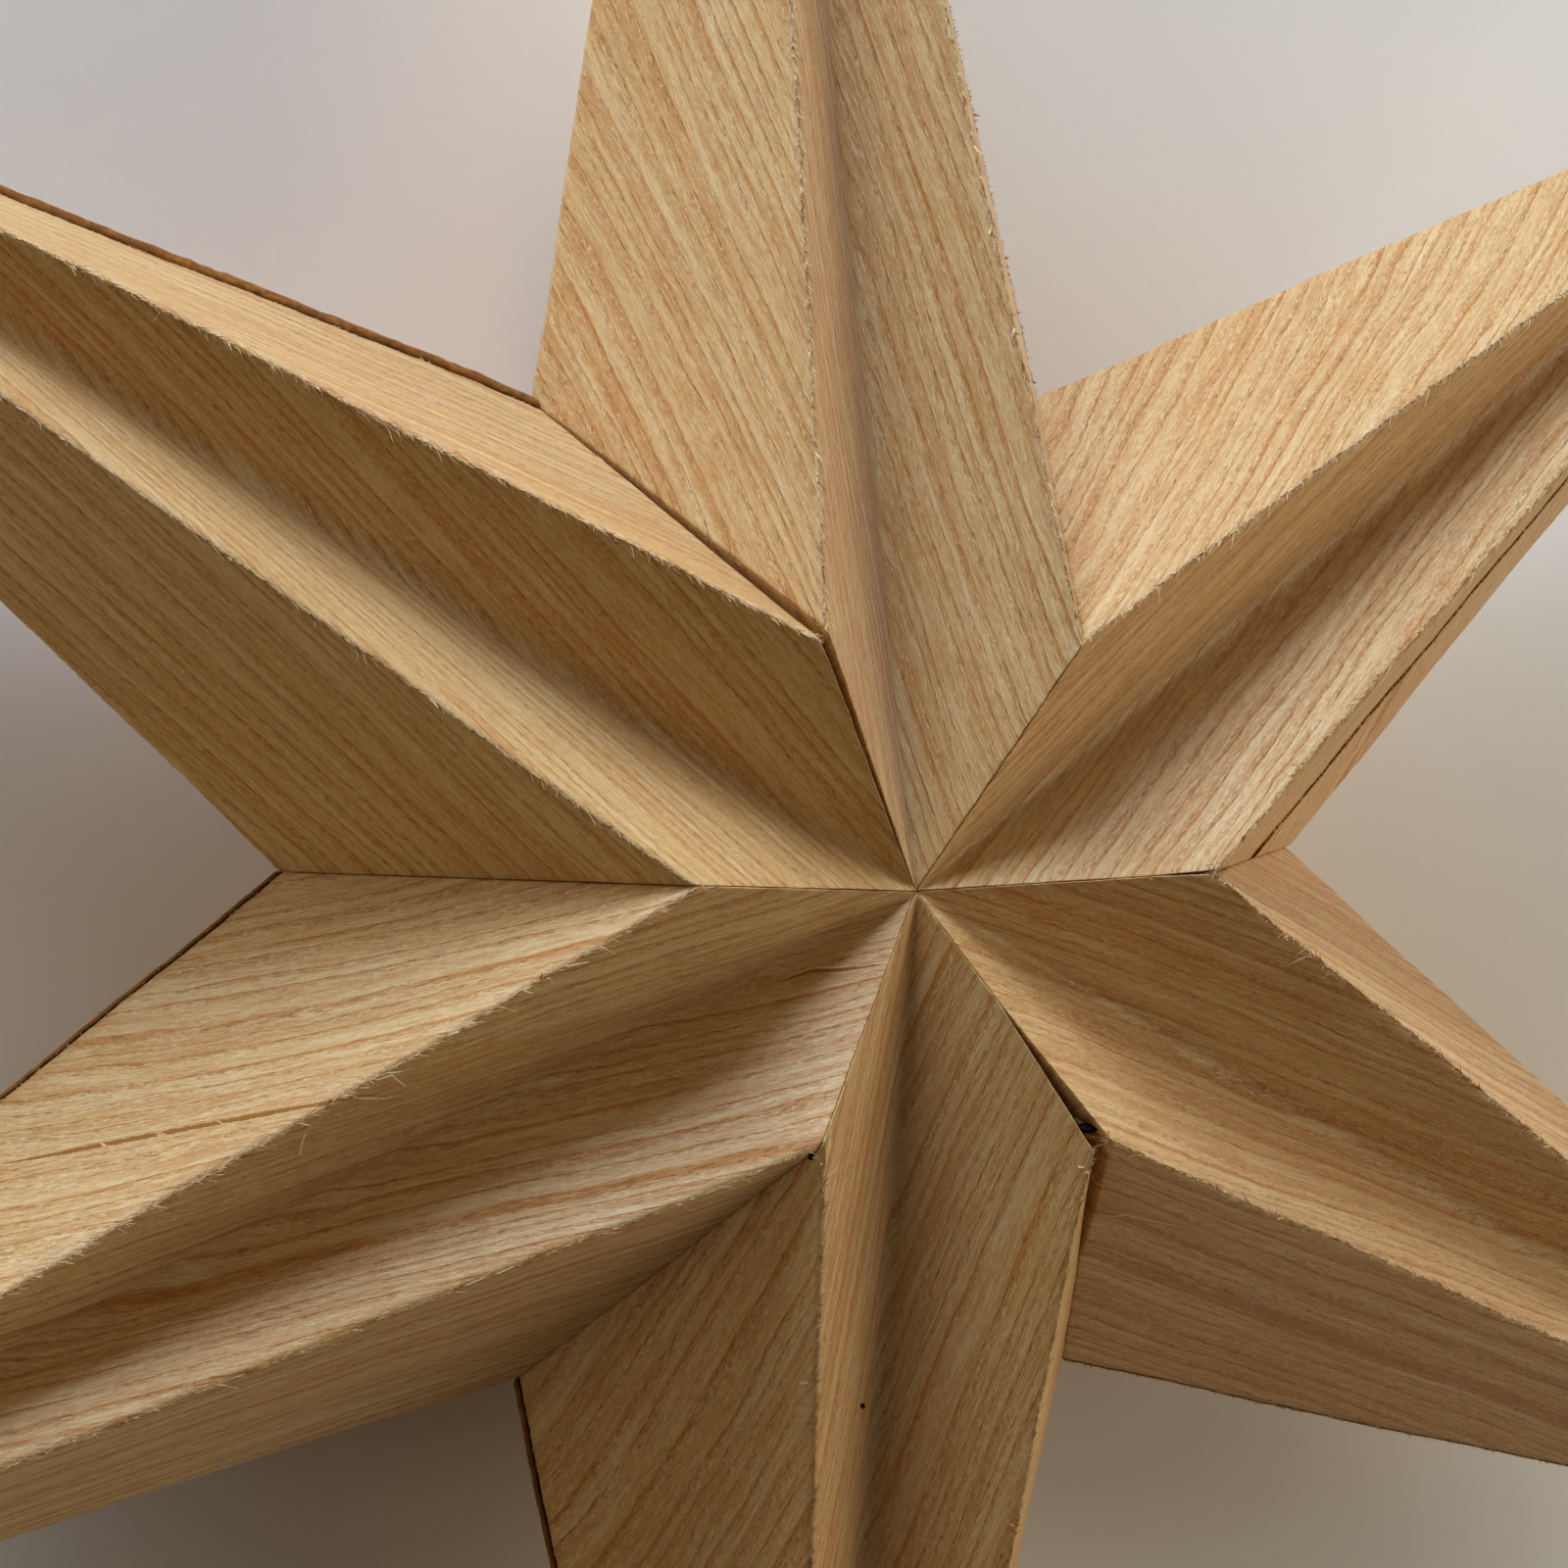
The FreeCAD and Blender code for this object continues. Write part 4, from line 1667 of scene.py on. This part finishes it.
@dataclass
class VeneerStar:
    """The whole star, arm by arm, anticlockwise from the top."""

    hub: Vector

    def arms(self) -> list[FoldedArm]:
        """Lists the arms with their seams, closings and pieces of veneer.

        Returns:
            The arms, not yet built.
        """
        top = VeneerCut(23.0, 1.37, 2.2, 1.0, 1.0, 0.35)
        upper_left = VeneerCut(
            -20.0, 2.11, 2.4, 0.7, 0.85, 0.40, rim_grain=23.0, hollow=2.0 * MM, slit=1.75 * MM, band=1.02 * MM
        )
        lower_left = VeneerCut(-20.0, 3.53, 2.6, 1.0, 1.0, 0.40, slit=0.7 * MM, band=0.30 * MM)
        bottom = VeneerCut(-22.0, 4.19, 2.5, 1.0, 1.0, 0.55, slit=0.8 * MM, band=0.36 * MM)
        lower_right = VeneerCut(20.5, 5.71, 2.7, 1.0, 0.9, 0.50)
        upper_right = VeneerCut(19.5, 6.43, 2.3, 1.1, 1.0, 0.35, rim_grain=1.5)
        plans = (
            ("arm_top", 90.0, "top_left", "top_right", top),
            ("arm_upper_left", 147.5, "left", "top_left", upper_left),
            ("arm_lower_left", 206.3, "bottom_left", "left", lower_left),
            ("arm_bottom", 270.0, "bottom_right", "bottom_left", bottom),
            ("arm_lower_right", 333.8, "right", "bottom_right", lower_right),
            ("arm_upper_right", 392.4, "top_right", "right", upper_right),
        )
        made = []
        for name, direction, left, right, cut in plans:
            closing = Closing.LAP if name == "arm_upper_right" else Closing.SLIT
            made.append(FoldedArm(name, direction, SEAMS[left], SEAMS[right], closing, cut, self.hub))
        return made

    def build(self) -> None:
        """Builds every arm and its finish."""
        edge = CutEdgeAndRimShadeFinish().material()
        fibre = FibreFinish().material()
        arms = self.arms()
        for arm in arms:
            veneer = VeneerFinish().material("veneer_" + arm.name, arm.cut)
            thing = arm.build(veneer, edge)
            loose = LooseFibres(arm).build(fibre)
            if arm.cut.band > 0:
                # rim band in the dark brown edge finish: painted shade, partly glue stain
                rim = RimShadeBand(arm).build(edge)
                LOG.info("%s: rim of %d faces", arm.name, len(rim.data.polygons))
            counts = len(thing.data.polygons), len(loose.data.polygons)
            LOG.info("%s: %d faces, %d on fibres", arm.name, *counts)
        marks = Marks(arms, self.hub).build()
        LOG.info("marks: %d faces", len(marks.data.polygons))


def find_hub() -> Vector:
    """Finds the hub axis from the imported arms.

    Returns:
        Its place at the level of the outline.
    """
    top_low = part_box("arm_top")[0]
    side_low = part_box("arm_lower_right")[0]
    low, high = CAD_BOX
    return Vector((side_low[0], top_low[1], (low[2] + high[2]) / 2.0))


def main() -> None:
    """Builds the star and the studio, and notes the hub."""
    logging.basicConfig(level=logging.INFO, format="%(name)s %(message)s")
    hub = find_hub()
    LOG.info("hub at %.4f %.4f %.4f", *hub)
    VeneerStar(hub).build()
    studio = Studio(hub)
    studio.floor()
    studio.lights()
    studio.camera()


if __name__ == "__main__":
    main()
